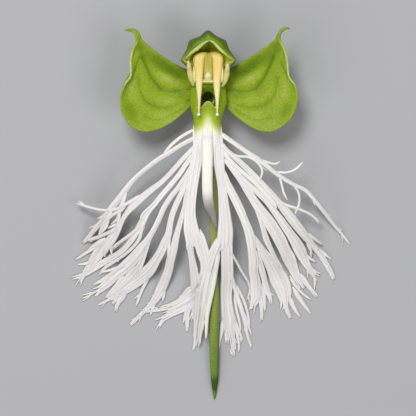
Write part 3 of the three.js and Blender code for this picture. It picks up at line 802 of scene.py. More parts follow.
@dataclass
class LateralSepal:
    """One of the two broad green ears: a hollowed blade with veins and a hooked tip.

    Attributes:
        name: Name of the node and the piece.
        ribs: Upper edge x, y and outer edge x, y from base to tip.
        lift: Height of the upper edge, of the outer edge, and hollow between them, rib by rib.
        veins: Plan points of the dark creases.
        zones: Patches of painted light and shade, and of the green's own deeper or brighter tone.
        thickness: Thickness of the blade in millimetres.
        mirrored: Whether veins and zones are given for the other side.
    """

    name: str
    ribs: Rows
    lift: Rows
    veins: tuple[Rows, ...]
    zones: tuple[Zone, ...]
    thickness: float = 0.3
    mirrored: bool = False

    def build(self, plan: Plan) -> bpy.types.Object:
        """Builds the sepal.

        Args:
            plan: The plan.

        Returns:
            The finished piece.
        """
        table = np.hstack((np.asarray(self.ribs, float), np.asarray(self.lift, float)))
        rows = through(table, 150, by=4)
        width = np.hypot(rows[:, 2] - rows[:, 0], rows[:, 3] - rows[:, 1])[:, None]
        inset = np.clip(0.8 / width, 0, 0.2)
        share = inset * 0.5 + np.linspace(0, 1, 64) * (1 - inset * 1.5)
        x = rows[:, 0:1] + (rows[:, 2:3] - rows[:, 0:1]) * share
        y = rows[:, 1:2] + (rows[:, 3:4] - rows[:, 1:2]) * share
        z = rows[:, 4:5] + (rows[:, 5:6] - rows[:, 4:5]) * share + rows[:, 6:7] * 4 * share * (1 - share)
        plain_x = PLAN_WIDTH - x if self.mirrored else x
        shade = np.full(x.shape, 0.4)
        # Painted light and shade, with some of the green's own tone, patch by patch.
        for zone in self.zones:
            shade += zone.on(plain_x, y)
        for vein in self.veins:
            near = distance_to(through(vein, 30), plain_x, y)
            # Darker along each crease: a narrow line of the vein's own deeper green, in a wider band of
            # painted crease shade; the crease is also grooved and its sides swell.
            shade += 0.13 * np.exp(-((near / 1.0) ** 2)) + 0.12 * np.exp(-((near / 3.4) ** 2))
            z -= 0.05 * np.exp(-((near / 1.5) ** 2))
            z += 0.04 * np.exp(-(((near - 4.5) / 2.8) ** 2))
        z += 0.03 * np.sin(plain_x * 0.45 + y * 0.2) * np.sin(y * 0.31) * 4 * share * (1 - share)
        share = np.linspace(0, 1, 64)
        from_outer = (1 - share) * width
        from_upper = share * width
        rolled = smoothstep(0.05, 0.35, np.linspace(0, 1, len(rows)))[:, None]
        edge = np.exp(-((from_outer / 0.9) ** 2)) * rolled
        pale = smoothstep(92, 80, y)
        broad = smoothstep(2.5, 9, width)
        shade -= (0.06 + 0.32 * pale * broad) * edge + 0.06 * np.exp(-((from_upper / 0.7) ** 2)) * rolled
        shade += 0.16 * (1 - broad) * smoothstep(0.85, 0.75, np.linspace(0, 1, len(rows)))[:, None]
        z += (0.03 + 0.08 * pale) * edge
        grid = plan.at(x, y, z)
        normal = normals_of(grid)
        side = np.sqrt(np.clip(1 - np.abs(2 * share - 1) ** 14, 0.12, 1)) * (1 + 0.25 * edge)
        half = (self.thickness / 2 * MM * side)[:, :, None]
        tissue = Tissue()
        tissue.sheet(grid + normal * half, grid - normal * half, np.clip(shade, 0, 1))
        return tissue.piece(f"{self.name}_blade", SEPAL_SKIN, "sepal_green", self.name)


@dataclass
class Hood:
    """The dorsal sepal's keeled vault and the two petals that line its mouth.

    Attributes:
        outline: Its widest outline, from under the left corner over the top to under the right one.
        rim: The rim of its mouth, point for point with the outline.
        petal_rim: The rim of the petals, point for point with the outline.
        centre: Plan point that its rows shrink towards.
        rows: Rows of scale, share towards the rim and height, for the sepal.
        petal_rows: The same for the petals.
        sepal_thickness: Thickness of the sepal in millimetres.
        petal_thickness: Thickness of a petal in millimetres.
    """

    outline: Rows
    rim: Rows
    petal_rim: Rows
    centre: tuple[float, float]
    rows: Rows
    petal_rows: Rows
    sepal_thickness: float = 0.3
    petal_thickness: float = 0.16

    def grid(self, plan: Plan, rows: Rows, share: np.ndarray, samples: int) -> np.ndarray:
        """Middle surface of a vault, with its creases slightly eased.

        Args:
            plan: The plan.
            rows: Rows of scale, share towards the rim (over 1: on to the petals' rim) and height.
            share: Shares along the arch, from 0 at the left end to 1 at the right one.
            samples: How many rows to make.

        Returns:
            Points in metres.
        """
        table = np.asarray(rows, float)
        table = through(np.hstack((table[:, :1] * 25, table[:, 2:3] * 9, table)), samples)[:, 2:]
        knots = np.linspace(0, 1, len(self.outline))
        wide = np.stack([np.interp(share, knots, np.asarray(self.outline)[:, axis]) for axis in (0, 1)])
        mouth = np.stack([np.interp(share, knots, np.asarray(self.rim)[:, axis]) for axis in (0, 1)])
        low = 0.55 * np.abs(2 * share - 1) ** 3
        inner = np.stack([np.interp(share, knots, np.asarray(self.petal_rim)[:, axis]) for axis in (0, 1)])
        lines = []
        for scale, towards, height in table:
            scaled = np.array(self.centre)[:, None] + (wide - np.array(self.centre)[:, None]) * scale
            x, y = scaled + (mouth - scaled) * min(towards, 1.0) + (inner - mouth) * max(towards - 1.0, 0.0)
            for _ in range(2):
                x[1:-1] = (x[:-2] + 2 * x[1:-1] + x[2:]) / 4
                y[1:-1] = (y[:-2] + 2 * y[1:-1] + y[2:]) / 4
            lines.append(plan.at(x, y, height - low * np.clip((height - 4) / 3, 0, 1)))
        return np.array(lines)

    def vault(self, plan: Plan) -> bpy.types.Object:
        """The sepal's vault, with its keel.

        Args:
            plan: The plan.

        Returns:
            The piece.
        """
        share = np.linspace(0, 1, 121)
        grid = self.grid(plan, self.rows, share, 72)
        normal = normals_of(grid)
        climb = np.linspace(0, 1, 72)[:, None] * np.ones_like(share)
        keel = np.exp(-(((share - 0.5) / 0.012) ** 2)) * np.sin(math.pi * climb)
        grid = grid - normal * (0.03 * MM * keel)[:, :, None]
        half = (self.sepal_thickness / 2 * MM * (1 - 0.6 * smoothstep(0.85, 1.0, climb)))[:, :, None]
        # Painted light and shade on the vault's faces: darker over the top and on the shoulders, lighter at
        # the lower corners. The keel line and the mouth's rim are paler.
        shade = 0.56 + 0.02 * np.sin(share * 47) - 0.18 * keel - 0.2 * smoothstep(0.94, 1.0, climb)
        shade = shade + 0.34 * np.exp(-(((share - 0.5) / 0.13) ** 2)) * smoothstep(0.97, 0.8, climb)
        for side in (0.0, 1.0):
            shade = shade - 0.2 * np.exp(-(((share - side) / 0.16) ** 2))
            shade = shade + 0.14 * np.exp(-(((share - 0.5 - (side - 0.5) * 0.5) / 0.09) ** 2))
        tissue = Tissue()
        tissue.sheet(grid - normal * half, grid + normal * half, shade)
        return tissue.piece("dorsal_sepal_hood", HOOD_SKIN, "hood_green", "dorsal_sepal")

    def petal(self, plan: Plan, name: str, low: float, high: float) -> bpy.types.Object:
        """One petal, pale along its rim.

        Args:
            plan: The plan.
            name: Name of the node.
            low: Share along the arch at which it starts.
            high: Share at which it ends.

        Returns:
            The piece.
        """
        share = np.linspace(low, high, 64)
        grid = self.grid(plan, self.petal_rows, share, 56)
        normal = normals_of(grid)
        climb = np.linspace(0, 1, 56)[:, None] * np.ones_like(share)
        half = self.petal_thickness / 2 * MM
        corner = np.exp(-(((share - (0.0 if low == 0 else 1.0)) / 0.15) ** 2))
        # Inside, the petal is deep green, a little lighter towards the rim; its sides and lower corners are
        # lighter, painted light against the hood's shadow. The rim is pale.
        inner = 0.85 - 0.15 * smoothstep(0.3, 0.75, climb)
        inner = inner - 0.3 * smoothstep(0.12, 0.3, np.abs(share - 0.5))
        inner = inner + (0.28 - inner) * corner
        rim = smoothstep(0.72, 0.8, climb) * (1 - 0.95 * corner)
        tissue = Tissue()
        tissue.sheet(grid - normal * half, grid + normal * half, inner + (0.1 - inner) * rim)
        return tissue.piece(f"{name}_blade", PETAL_SKIN, "petal_green", name)

    def build(self, plan: Plan) -> list[bpy.types.Object]:
        """Builds the sepal and both petals.

        Args:
            plan: The plan.

        Returns:
            The three pieces.
        """
        return [
            self.vault(plan),
            self.petal(plan, "petal_left", 0.0, 0.496),
            self.petal(plan, "petal_right", 0.504, 1.0),
        ]


@dataclass
class Column:
    """The column with its pollen channels, sticky discs and warty side fingers.

    Attributes:
        sides: Rows of plan y, left edge and right edge of the column's face.
        back: Height of its back in millimetres.
        front: Height of its face in millimetres.
        channels: Rows of plan y, left edge, right edge, height and depth of the two pollen channels.
        discs: Plan points and heights of the sticky discs.
        disc_radius: Radius of a sticky disc in millimetres.
        fingers: Stations of the two side fingers.
        warts: How many warts a side finger has.
        seed: Seed of the first finger's warts.
        middle_x: Plan x of its middle.
        crest_y: Plan y of the pale crest at its top.
        tooth_y: Plan y of the rostellum tooth.
        bar_y: Plan y of the bar across its foot.
        flap_x: Plan distance of the side flaps from its middle.
    """

    sides: Rows
    back: float
    front: float
    channels: dict[str, Rows]
    discs: dict[str, tuple[float, float, float]]
    disc_radius: float
    fingers: dict[str, Rows]
    warts: int = 60
    seed: int = 41
    middle_x: float = 208.2
    crest_y: float = 53.4
    tooth_y: float = 78.0
    bar_y: float = 82.4
    flap_x: float = 14.2

    def face(self, plan: Plan) -> bpy.types.Object:
        """The column's body, with its connective, rostellum tooth, flaps and cross bar as relief.

        Args:
            plan: The plan.

        Returns:
            The piece.
        """
        rows = through(self.sides, 100, by=1)
        share = np.linspace(0, 1, 110)
        y = rows[:, 0:1] * np.ones_like(share)
        x = rows[:, 1:2] + (rows[:, 2:3] - rows[:, 1:2]) * share
        round_off = np.sqrt(np.clip(1 - np.abs(2 * share - 1) ** 9, 0, 1))
        ends = np.sqrt(np.clip(1 - np.abs(np.linspace(-1, 1, 100)) ** 12, 0, 1))[:, None]
        top = self.back + (self.front - self.back) * (0.25 + 0.75 * round_off * ends)
        aside = np.abs(x - self.middle_x)
        middle = np.exp(-((aside / 4.9) ** 6)) * smoothstep(51.5, 54.5, y)
        top += 0.68 * middle * smoothstep(83, 76, y)
        top -= 0.1 * np.exp(-((aside / 1.2) ** 2)) * smoothstep(66, 58, y)
        over_tooth = ((y - self.tooth_y) / 5.6) ** 2 * np.where(y < self.tooth_y, 1, 3)
        tooth = np.clip(1 - (aside / 3.7) ** 2 - over_tooth, 0, 1)
        top += 0.3 * np.sqrt(tooth)
        bar = np.exp(-(((y - self.bar_y) / 2.0) ** 2)) * smoothstep(8.6, 6.4, aside)
        top += 0.5 * bar
        flap = np.exp(-(((aside - self.flap_x) / 2.2) ** 2)) * smoothstep(56, 64, y) * smoothstep(87, 82, y)
        top += 0.6 * flap
        crest = np.exp(-(((y - self.crest_y - 0.02 * aside**2) / 1.1) ** 2)) * smoothstep(12, 9, aside)
        shade = 0.6 + 0.03 * np.sin(x * 1.6) - 0.1 * smoothstep(66, 72, y) * middle
        shade = shade + 0.22 * smoothstep(5, 10, aside)
        # Lighter on the lower sides and the flaps: the flaps' own pale colour, lightened further as painted
        # light against the shadow between the side fingers and the channels.
        shade -= 0.55 * smoothstep(62, 74, y) * smoothstep(9, 13, aside)
        shade -= 0.35 * crest + 0.3 * flap
        shade = np.where(tooth > 0, shade - 0.62 * np.sqrt(tooth), shade) - 0.36 * bar
        tissue = Tissue()
        low = plan.at(x, y, np.full_like(x, self.back))
        tissue.sheet(plan.at(x, y, top), low, np.clip(shade, 0, 1))
        return tissue.piece("column_face", COLUMN_SKIN, "column_cream", "column")

    def channel(self, plan: Plan, name: str, rows: Rows) -> bpy.types.Object:
        """One pollen channel: a broad cell that narrows down to a thread.

        Args:
            plan: The plan.
            name: Name of the node.
            rows: Rows of plan y, left edge, right edge, height and depth.

        Returns:
            The piece.
        """
        table = through(rows, 150, by=1)
        share = np.linspace(0, 1, 40)
        u = 2 * share - 1
        y = table[:, 0:1] * np.ones_like(share)
        x = table[:, 1:2] + (table[:, 2:3] - table[:, 1:2]) * share
        dome = table[:, 4:5] / 2 * np.sqrt(np.clip(1 - np.abs(u) ** 2.4, 0.0004, 1))
        broad = smoothstep(92, 66, y)
        seam = np.exp(-(((x - self.middle_x) / 5.2) ** 8)) * broad
        crease = 0.06 * broad * np.exp(-(((u - 0.05) / 0.1) ** 2))
        shade = 0.12 + 0.3 * broad + 0.3 * broad * np.abs(u) ** 3 + 0.2 * seam
        shade += 0.25 * np.exp(-(((y - table[0, 0]) / 2.2) ** 2)) + 0.08 * broad * np.sin(x * 2.4)
        tissue = Tissue()
        upper = plan.at(x, y, table[:, 3:4] + dome - crease)
        tissue.sheet(upper, plan.at(x, y, table[:, 3:4] - dome), np.clip(shade, 0, 1))
        return tissue.piece(f"{name}_channel", POLLEN_CASE, "pollen_yellow", name)

    def disc(self, plan: Plan, name: str, x: float, y: float, z: float) -> bpy.types.Object:
        """One sticky disc, a small ball.

        Args:
            plan: The plan.
            name: Name of the node.
            x: Plan x.
            y: Plan y.
            z: Height of its middle in millimetres.

        Returns:
            The piece.
        """
        turn = np.linspace(0.06, 0.94, 18) * math.pi
        across = 2 * self.disc_radius * np.sin(turn)
        along = y - self.disc_radius * np.cos(turn) / plan.unit
        rows = np.stack(
            (np.full_like(turn, x), along, across / plan.unit, across, np.full_like(turn, z)), axis=1
        )
        tissue = Tissue()
        tissue.tube(rod_rings(plan, rows, 20), np.zeros(18))
        return tissue.piece(f"{name}_disc", STICKY_DISC, "viscidium_white", name)

    def side_finger(self, plan: Plan, name: str, stations: Rows, seed: int) -> bpy.types.Object:
        """One warty side finger.

        Args:
            plan: The plan.
            name: Name of the node.
            stations: Its stations.
            seed: Seed of its warts.

        Returns:
            The piece.
        """
        draw = random.Random(seed)
        warts = [
            (draw.random(), draw.uniform(0, 2 * math.pi), draw.uniform(0.06, 0.13))
            for _ in range(self.warts)
        ]

        def warty(share: float, angle: float) -> float:
            """Radius factor of the warts.

            Args:
                share: Share along the finger.
                angle: Angle round it in radians.

            Returns:
                The factor, 1 where there is no wart.
            """
            grow = 1.0
            for at, round_at, high in warts:
                gap = math.remainder(angle - round_at, 2 * math.pi)
                grow += high * math.exp(-(((share - at) / 0.04) ** 2) - (gap / 0.35) ** 2)
            return grow

        tissue = Tissue()
        tissue.tube(rod_rings(plan, through(stations, 80), 32, warty), np.linspace(0.1, 0.9, 80))
        return tissue.piece(f"{name}_finger", AURICLE_SKIN, "auricle_cream", name)

    def build(self, plan: Plan) -> list[bpy.types.Object]:
        """Builds the column and what stands on it.

        Args:
            plan: The plan.

        Returns:
            Its pieces.
        """
        pieces = [self.face(plan)]
        pieces += [self.channel(plan, name, rows) for name, rows in self.channels.items()]
        pieces += [self.disc(plan, name, *place) for name, place in self.discs.items()]
        for index, (name, stations) in enumerate(self.fingers.items()):
            pieces.append(self.side_finger(plan, name, stations, self.seed + index))
        return pieces


@dataclass
class Lip:
    """The lip: claw, throat and collar, mid-lobe, and two side lobes cut into a fringe.

    Attributes:
        edges: Rows of plan y, left edge, right edge of the claw.
        mid_lobe: Stations of the strap between the side lobes.
        side_lobes: Ribbons of the side lobes' bodies, left then right.
        fringe_left: Ribbons of plan x, y and width on the left.
        fringe_right: The same on the right.
        root_height: Height of the fringe's underside at its root.
        reach: Plan distance at which the fringe lies on the surface.
        power: How late the fringe droops.
        thread: Thickness of a thread in millimetres.
        finger: Plan width of one finger of a broad ribbon.
        root_y: Plan y of the fringe's root.
        over_spur: Height in millimetres that the fringe keeps over the spur.
        collar_x: Plan x of the collar's middle.
        collar_y: Plan y of the collar's ends, below the throat.
        strap_x: Plan x of the strap's middle, where it leaves the claw.
        fold_x: Plan x of the folds beside the strap.
    """

    edges: Rows
    mid_lobe: Rows
    side_lobes: tuple[Rows, ...]
    fringe_left: tuple[Rows, ...]
    fringe_right: tuple[Rows, ...]
    root_height: float = 4.15
    reach: float = 168.0
    power: float = 2.6
    thread: float = 0.17
    finger: float = 3.5
    root_y: float = 125.0
    over_spur: float = 1.25
    collar_x: float = 208.1
    collar_y: float = 107.3
    strap_x: float = 207.4
    fold_x: tuple[float, float] = (202.0, 213.0)

    def from_root(self, x: np.ndarray, y: np.ndarray) -> np.ndarray:
        """Plan distance of points from the root of the fringe."""
        return np.hypot(x - MIDLINE, y - self.root_y)

    def folds(self, x: np.ndarray, width: float) -> np.ndarray:
        """How near points are to the folds beside the strap, 1 on a fold."""
        return sum(np.exp(-(((x - at) / width) ** 2)) for at in self.fold_x)

    def droop(self, x: np.ndarray, y: np.ndarray) -> np.ndarray:
        """Height of the fringe's underside, clear over the spur.

        Args:
            x: Plan x.
            y: Plan y.

        Returns:
            The height in millimetres at each point.
        """
        reach = self.from_root(x, y) / self.reach
        over_spur = np.where(x < 216, smoothstep(195, 205, x) * self.over_spur, 0.0)
        free = self.root_height * (1 - reach**self.power)
        return np.maximum((free + np.hypot(free, 0.45)) / 2, over_spur)

    def middle(self, x: np.ndarray, y: np.ndarray) -> np.ndarray:
        """Height of a thread's middle at plan points, down on the surface at the tips."""
        low = self.droop(x, y)
        return low + self.thread / 2 + 0.02 + 0.24 * np.clip(low / self.root_height, 0, 1)

    def claw(self, plan: Plan) -> bpy.types.Object:
        """The claw, its throat and collar, running out into the lobes.

        Args:
            plan: The plan.

        Returns:
            The piece.
        """
        rows = through(self.edges, 260, by=1)
        share = np.linspace(0, 1, 120)
        y = rows[:, 0:1] * np.ones_like(share)
        x = rows[:, 1:2] + (rows[:, 2:3] - rows[:, 1:2]) * share
        around = np.sqrt(np.clip(1 - np.abs(2 * share - 1) ** 3.2, 0, 1))
        top = 4.35 + 0.9 * around + 0.08 * np.exp(-(((y - 118) / 12) ** 2)) * around
        from_middle = np.abs(x - MIDLINE)
        wall = np.exp(-(((from_middle - 12.5) / 3.0) ** 2)) * smoothstep(116, 104, y)
        top += 0.12 * wall
        aside = np.abs(x - self.collar_x)
        collar = self.collar_y - 6.2 * np.cos(math.pi / 2 * np.clip(aside / 6.8, 0, 1)) ** 1.05
        inside = smoothstep(7.4, 6.2, from_middle)
        pit = inside * smoothstep(84.5, 94, y) * smoothstep(0.5, -0.5, y - collar)
        hole = (from_middle < 6.5) & (y > 91.4 + 0.09 * from_middle**2) & (y < collar)
        top -= 0.9 * pit
        lip_edge = np.exp(-(((y - collar - 0.5) / 0.7) ** 2)) * smoothstep(12.4, 11.2, aside)
        top += 0.1 * lip_edge * (1 - pit)
        top += 0.2 * np.exp(-(((y - collar - 3) / 3.5) ** 2)) * smoothstep(8, 4, aside)
        lobes = smoothstep(122, 140, y)
        top -= 0.16 * lobes * self.folds(x, 1.0)
        top += 0.1 * lobes * np.exp(-(((x - self.strap_x) / 4) ** 2))
        strap_side = np.exp(-(((x - self.strap_x) / 6) ** 4))
        slow = 0.3 * smoothstep(126, 150, y) + 0.6 * smoothstep(144, 166, y)
        top -= strap_side * slow + (1 - strap_side) * 0.9 * smoothstep(124, 164, y)
        bottom = top - (0.35 + 1.1 * smoothstep(132, 116, y) * around)
        start = 132.5 - 10.5 * np.exp(-(((x - 207.8) / 6.0) ** 2))
        shade = 0.41 + 0.5 * smoothstep(start + 12.0, start - 18.0, y) ** 1.2
        shade += 0.06 * np.exp(-(((y - 126) / 7) ** 2))
        shade = shade + 0.06 * wall - 0.3 * lip_edge * smoothstep(-0.6, 0.2, y - collar)
        # Painted shade: the white turns grey in the folds beside the strap.
        shade -= 0.05 * lobes * self.folds(x, 1.2)
        # Painted shade: the throat and the wall above it darken towards the hollow colour.
        throat = inside * smoothstep(84.5, 93, y) * smoothstep(0.4, -0.4, y - collar)
        tissue = Tissue()
        tissue.sheet(
            plan.at(x, y, top),
            plan.at(x, y, bottom),
            np.clip(shade, 0, 1),
            deep=0.9 * np.clip(throat, 0, 1),
            hole=hole,
        )
        self.strap(tissue, plan)
        return tissue.piece("lip_claw", LIP_SKIN, "lip_white", "lip")

    def strap(self, tissue: Tissue, plan: Plan) -> None:
        """Adds the mid-lobe, a thick strap.

        Args:
            tissue: The mesh that it joins.
            plan: The plan.
        """
        line = through(self.mid_lobe, 190)

        def curled(share: float, angle: float) -> float:
            """Radius factor of the strap, waved towards its tip."""
            return 1 - 0.05 * math.cos(4 * angle) + 0.2 * max(0, share - 0.72) * math.sin(75 * share)

        rings = rod_rings(plan, line, 36, curled)
        # Painted shade: the strap's tail turns grey where it bends back under the right side lobe.
        grey = 0.41 - 0.06 * smoothstep(186, 197, line[:, 1]) - 0.33 * smoothstep(190, 210, line[:, 1])
        tissue.tube(rings, grey, across=1.2, strand=3.0)

    def thread_rings(
        self, plan: Plan, path: np.ndarray, lift: np.ndarray | float, roll: float
    ) -> np.ndarray:
        """Rings of one flat thread.

        Args:
            plan: The plan.
            path: Rows of plan x, y and width.
            lift: Height added to the thread, in millimetres.
            roll: Turn of its flat side in radians.

        Returns:
            Points in metres by station and place.
        """
        x, y, width = path[:, 0], path[:, 1], path[:, 2]
        spine = plan.at(x, y, self.middle(x, y) + lift * np.clip(self.droop(x, y) / 1.2, 0.15, 1))
        travel = np.gradient(spine, axis=0)
        travel /= np.maximum(np.linalg.norm(travel, axis=1, keepdims=True), 1e-12)
        side = np.cross(travel, np.array([0.0, 0.0, 1.0]))
        side /= np.maximum(np.linalg.norm(side, axis=1, keepdims=True), 1e-12)
        up = np.cross(side, travel)
        turned = side * math.cos(roll) + up * math.sin(roll)
        up = up * math.cos(roll) - side * math.sin(roll)
        angle = (np.arange(8) + 0.5) / 8 * 2 * math.pi
        half = (np.maximum(width, 0.5) * 1.08 + 0.25)[:, None] * plan.unit * MM / 2
        thick = np.minimum(self.thread * MM / 2, half * 0.8)
        rings = (
            spine[:, None]
            + (half * np.cos(angle))[:, :, None] * turned[:, None]
            + (thick * np.sin(angle))[:, :, None] * up[:, None]
        )
        rings[:, :, 2] = np.maximum(rings[:, :, 2], 0.01 * MM * (1 + np.sin(angle)))
        return rings

    def grow(self, tissue: Tissue, plan: Plan, path: Rows, draw: random.Random, strand: float) -> None:
        """Grows one ribbon of the fringe: fingers side by side, which end one by one as it narrows.

        Args:
            tissue: The mesh that it grows in.
            plan: The plan.
            path: Rows of plan x, y and width.
            draw: Seeded draw.
            strand: Number of the ribbon.
        """
        table = np.asarray(path, float)
        size = max(10, int(length_of(table) / 1.4))
        line = through(table, size)
        wide = np.maximum(line[:, 2], 0.9)
        tangent = np.gradient(line[:, :2], axis=0)
        tangent /= np.maximum(np.linalg.norm(tangent, axis=1, keepdims=True), 1e-9)
        across = np.stack((-tangent[:, 1], tangent[:, 0]), axis=1)
        share = np.linspace(0, 1, size)
        widest = int(np.argmax(wide))
        most = wide[widest]
        fingers = max(1, round(most / self.finger))
        each = np.minimum(wide, np.maximum(wide * 1.35 / fingers, 1.6))
        spread = (np.where(np.arange(size) > widest, 0.25 * most + 0.75 * wide, wide) - each) / 2
        pointed = table[-1][2] <= 3
        for number in range(fingers):
            seat = 0.0 if fingers == 1 else 2 * number / (fingers - 1) - 1
            own = line.copy()
            sway = 0.2 * np.sin(share * draw.uniform(4, 9) + draw.uniform(0, 6)) * smoothstep(0, 0.3, share)
            own[:, :2] += across * (seat * spread + (sway if fingers > 1 else 0))[:, None]
            own[:, 2] = each
            outside = np.nonzero((np.arange(size) > widest) & (np.abs(seat) * spread > wide / 2 + 0.2))[0]
            if len(outside) and abs(seat) > 1 / fingers or not pointed:
                stop = int(outside[0]) if len(outside) else size - 1
                own = own[: max(stop, 6) + 1]
                heading = tangent[stop] + across[stop] * seat * draw.uniform(0.0, 0.28)
                heading /= np.linalg.norm(heading)
                reach = draw.uniform(4, 9)
                steps = np.linspace(0, 1, 9)[1:]
                bent = across[stop] * draw.uniform(-0.14, 0.14) * reach
                tip = own[-1][:2] + heading * (steps * reach)[:, None] + bent * (steps**2)[:, None]
                own = np.vstack((own, np.hstack((tip, np.full((8, 1), own[-1][2])))))
            self.blade(tissue, plan, own, draw, strand + number * 0.37, 0.05 * (1 - abs(seat)))
            if draw.random() < (0.35 if fingers > 1 else 0.15):
                self.fork(tissue, plan, own, draw, strand + number * 0.37 + 0.1)
        if pointed and size > 24:
            for _ in range(max(1, int(size * 0.04))):
                self.sprout(tissue, plan, line, tangent, across, draw, strand)

    def blade(
        self, tissue: Tissue, plan: Plan, own: np.ndarray, draw: random.Random, strand: float, lift: float
    ) -> None:
        """Grows one pointed finger.

        Args:
            tissue: The mesh that it grows in.
            plan: The plan.
            own: The finger's stations.
            draw: Seeded draw.
            strand: Number of the finger.
            lift: Height added to it, in millimetres.
        """
        steps = np.concatenate(([0.0], np.linalg.norm(np.diff(own[:, :2], axis=0), axis=1)))
        run = np.cumsum(steps)
        point = min(draw.uniform(4, 8), 0.45 * run[-1])
        own = own.copy()
        own[:, 2] *= 0.3 + 0.7 * np.clip((run[-1] - run) / point, 0, 1) ** 0.7
        own[:, 2] = np.maximum(own[:, 2] * (0.35 + 0.65 * smoothstep(0, 7, run)), 0.7)
        outer = smoothstep(100, 165, self.from_root(own[:, 0], own[:, 1]))
        grey = 0.39 - draw.uniform(0.0, 0.04) - 0.07 * outer * draw.uniform(0.5, 1)
        high = lift + draw.uniform(-0.04, 0.04) - 0.16 * smoothstep(9, 0, run)
        rings = self.thread_rings(plan, own, high, draw.uniform(-0.25, 0.25))
        tissue.tube(rings, grey, across=own[:, 2].max() * plan.unit, strand=strand)

    def fork(self, tissue: Tissue, plan: Plan, own: np.ndarray, draw: random.Random, strand: float) -> None:
        """Grows a second point beside the end of a finger.

        Args:
            tissue: The mesh that it grows in.
            plan: The plan.
            own: The finger's stations.
            draw: Seeded draw.
            strand: Number of the finger.
        """
        steps = np.concatenate(([0.0], np.linalg.norm(np.diff(own[:, :2], axis=0), axis=1)))
        left = steps.sum() - np.cumsum(steps)
        at = int(np.argmin(np.abs(left - draw.uniform(6, 12))))
        if at < 3 or at > len(own) - 3:
            return
        tangent = own[at + 1, :2] - own[at - 1, :2]
        tangent /= max(np.linalg.norm(tangent), 1e-9)
        across = np.array((-tangent[1], tangent[0])) * draw.choice((-1, 1))
        heading = tangent + across * draw.uniform(0.1, 0.34)
        heading /= np.linalg.norm(heading)
        reach = draw.uniform(6, 10)
        steps = np.linspace(0, 1, 12)
        points = own[at, :2] + heading * (steps * reach)[:, None]
        points += across * (draw.uniform(-0.12, 0.12) * reach * steps**2)[:, None]
        self.blade(tissue, plan, np.hstack((points, np.full((12, 1), own[at, 2] * 0.7))), draw, strand, 0.0)

    def sprout(
        self,
        tissue: Tissue,
        plan: Plan,
        line: np.ndarray,
        tangent: np.ndarray,
        across: np.ndarray,
        draw: random.Random,
        strand: float,
    ) -> None:
        """Grows one fine pointed thread off the outer part of a ribbon.

        Args:
            tissue: The mesh that it grows in.
            plan: The plan.
            line: The ribbon's stations.
            tangent: Direction at each station.
            across: Direction across at each station.
            draw: Seeded draw.
            strand: Number of the ribbon.
        """
        at = int(draw.uniform(0.66, 0.96) * (len(line) - 1))
        hand = draw.choice((-1, 1))
        start = line[at, :2] + across[at] * hand * line[at, 2] * 0.25
        heading = tangent[at] + across[at] * hand * draw.uniform(0.1, 0.45)
        heading /= np.linalg.norm(heading)
        reach = draw.uniform(5, 12)
        steps = np.linspace(0, 1, 10)
        curl = across[at] * draw.uniform(-0.25, 0.25) * reach
        points = start + heading * (steps * reach)[:, None] + curl * (steps**2)[:, None]
        width = draw.uniform(1.2, 2.0) * (1 - 0.7 * steps)
        own = np.hstack((points, np.maximum(width, 0.5)[:, None]))
        rings = self.thread_rings(plan, own, draw.uniform(-0.05, 0.05), draw.uniform(-0.5, 0.5))
        tissue.tube(rings, np.full(10, 0.38 - draw.uniform(0, 0.08)), across=0.2, strand=strand)

    def build(self, plan: Plan) -> list[bpy.types.Object]:
        """Builds the lip.

        Args:
            plan: The plan.

        Returns:
            Claw with mid-lobe, left fringe and right fringe.
        """
        pieces = [self.claw(plan)]
        for name, body, fringe in (
            ("lip_fringe_left", self.side_lobes[0], self.fringe_left),
            ("lip_fringe_right", self.side_lobes[1], self.fringe_right),
        ):
            tissue = Tissue()
            for index, path in enumerate((body, *fringe)):
                self.grow(tissue, plan, path, random.Random(f"{name}{index}"), index * 1.7)
            pieces.append(tissue.piece(name, LIP_SKIN, "lip_white", "lip"))
        return pieces


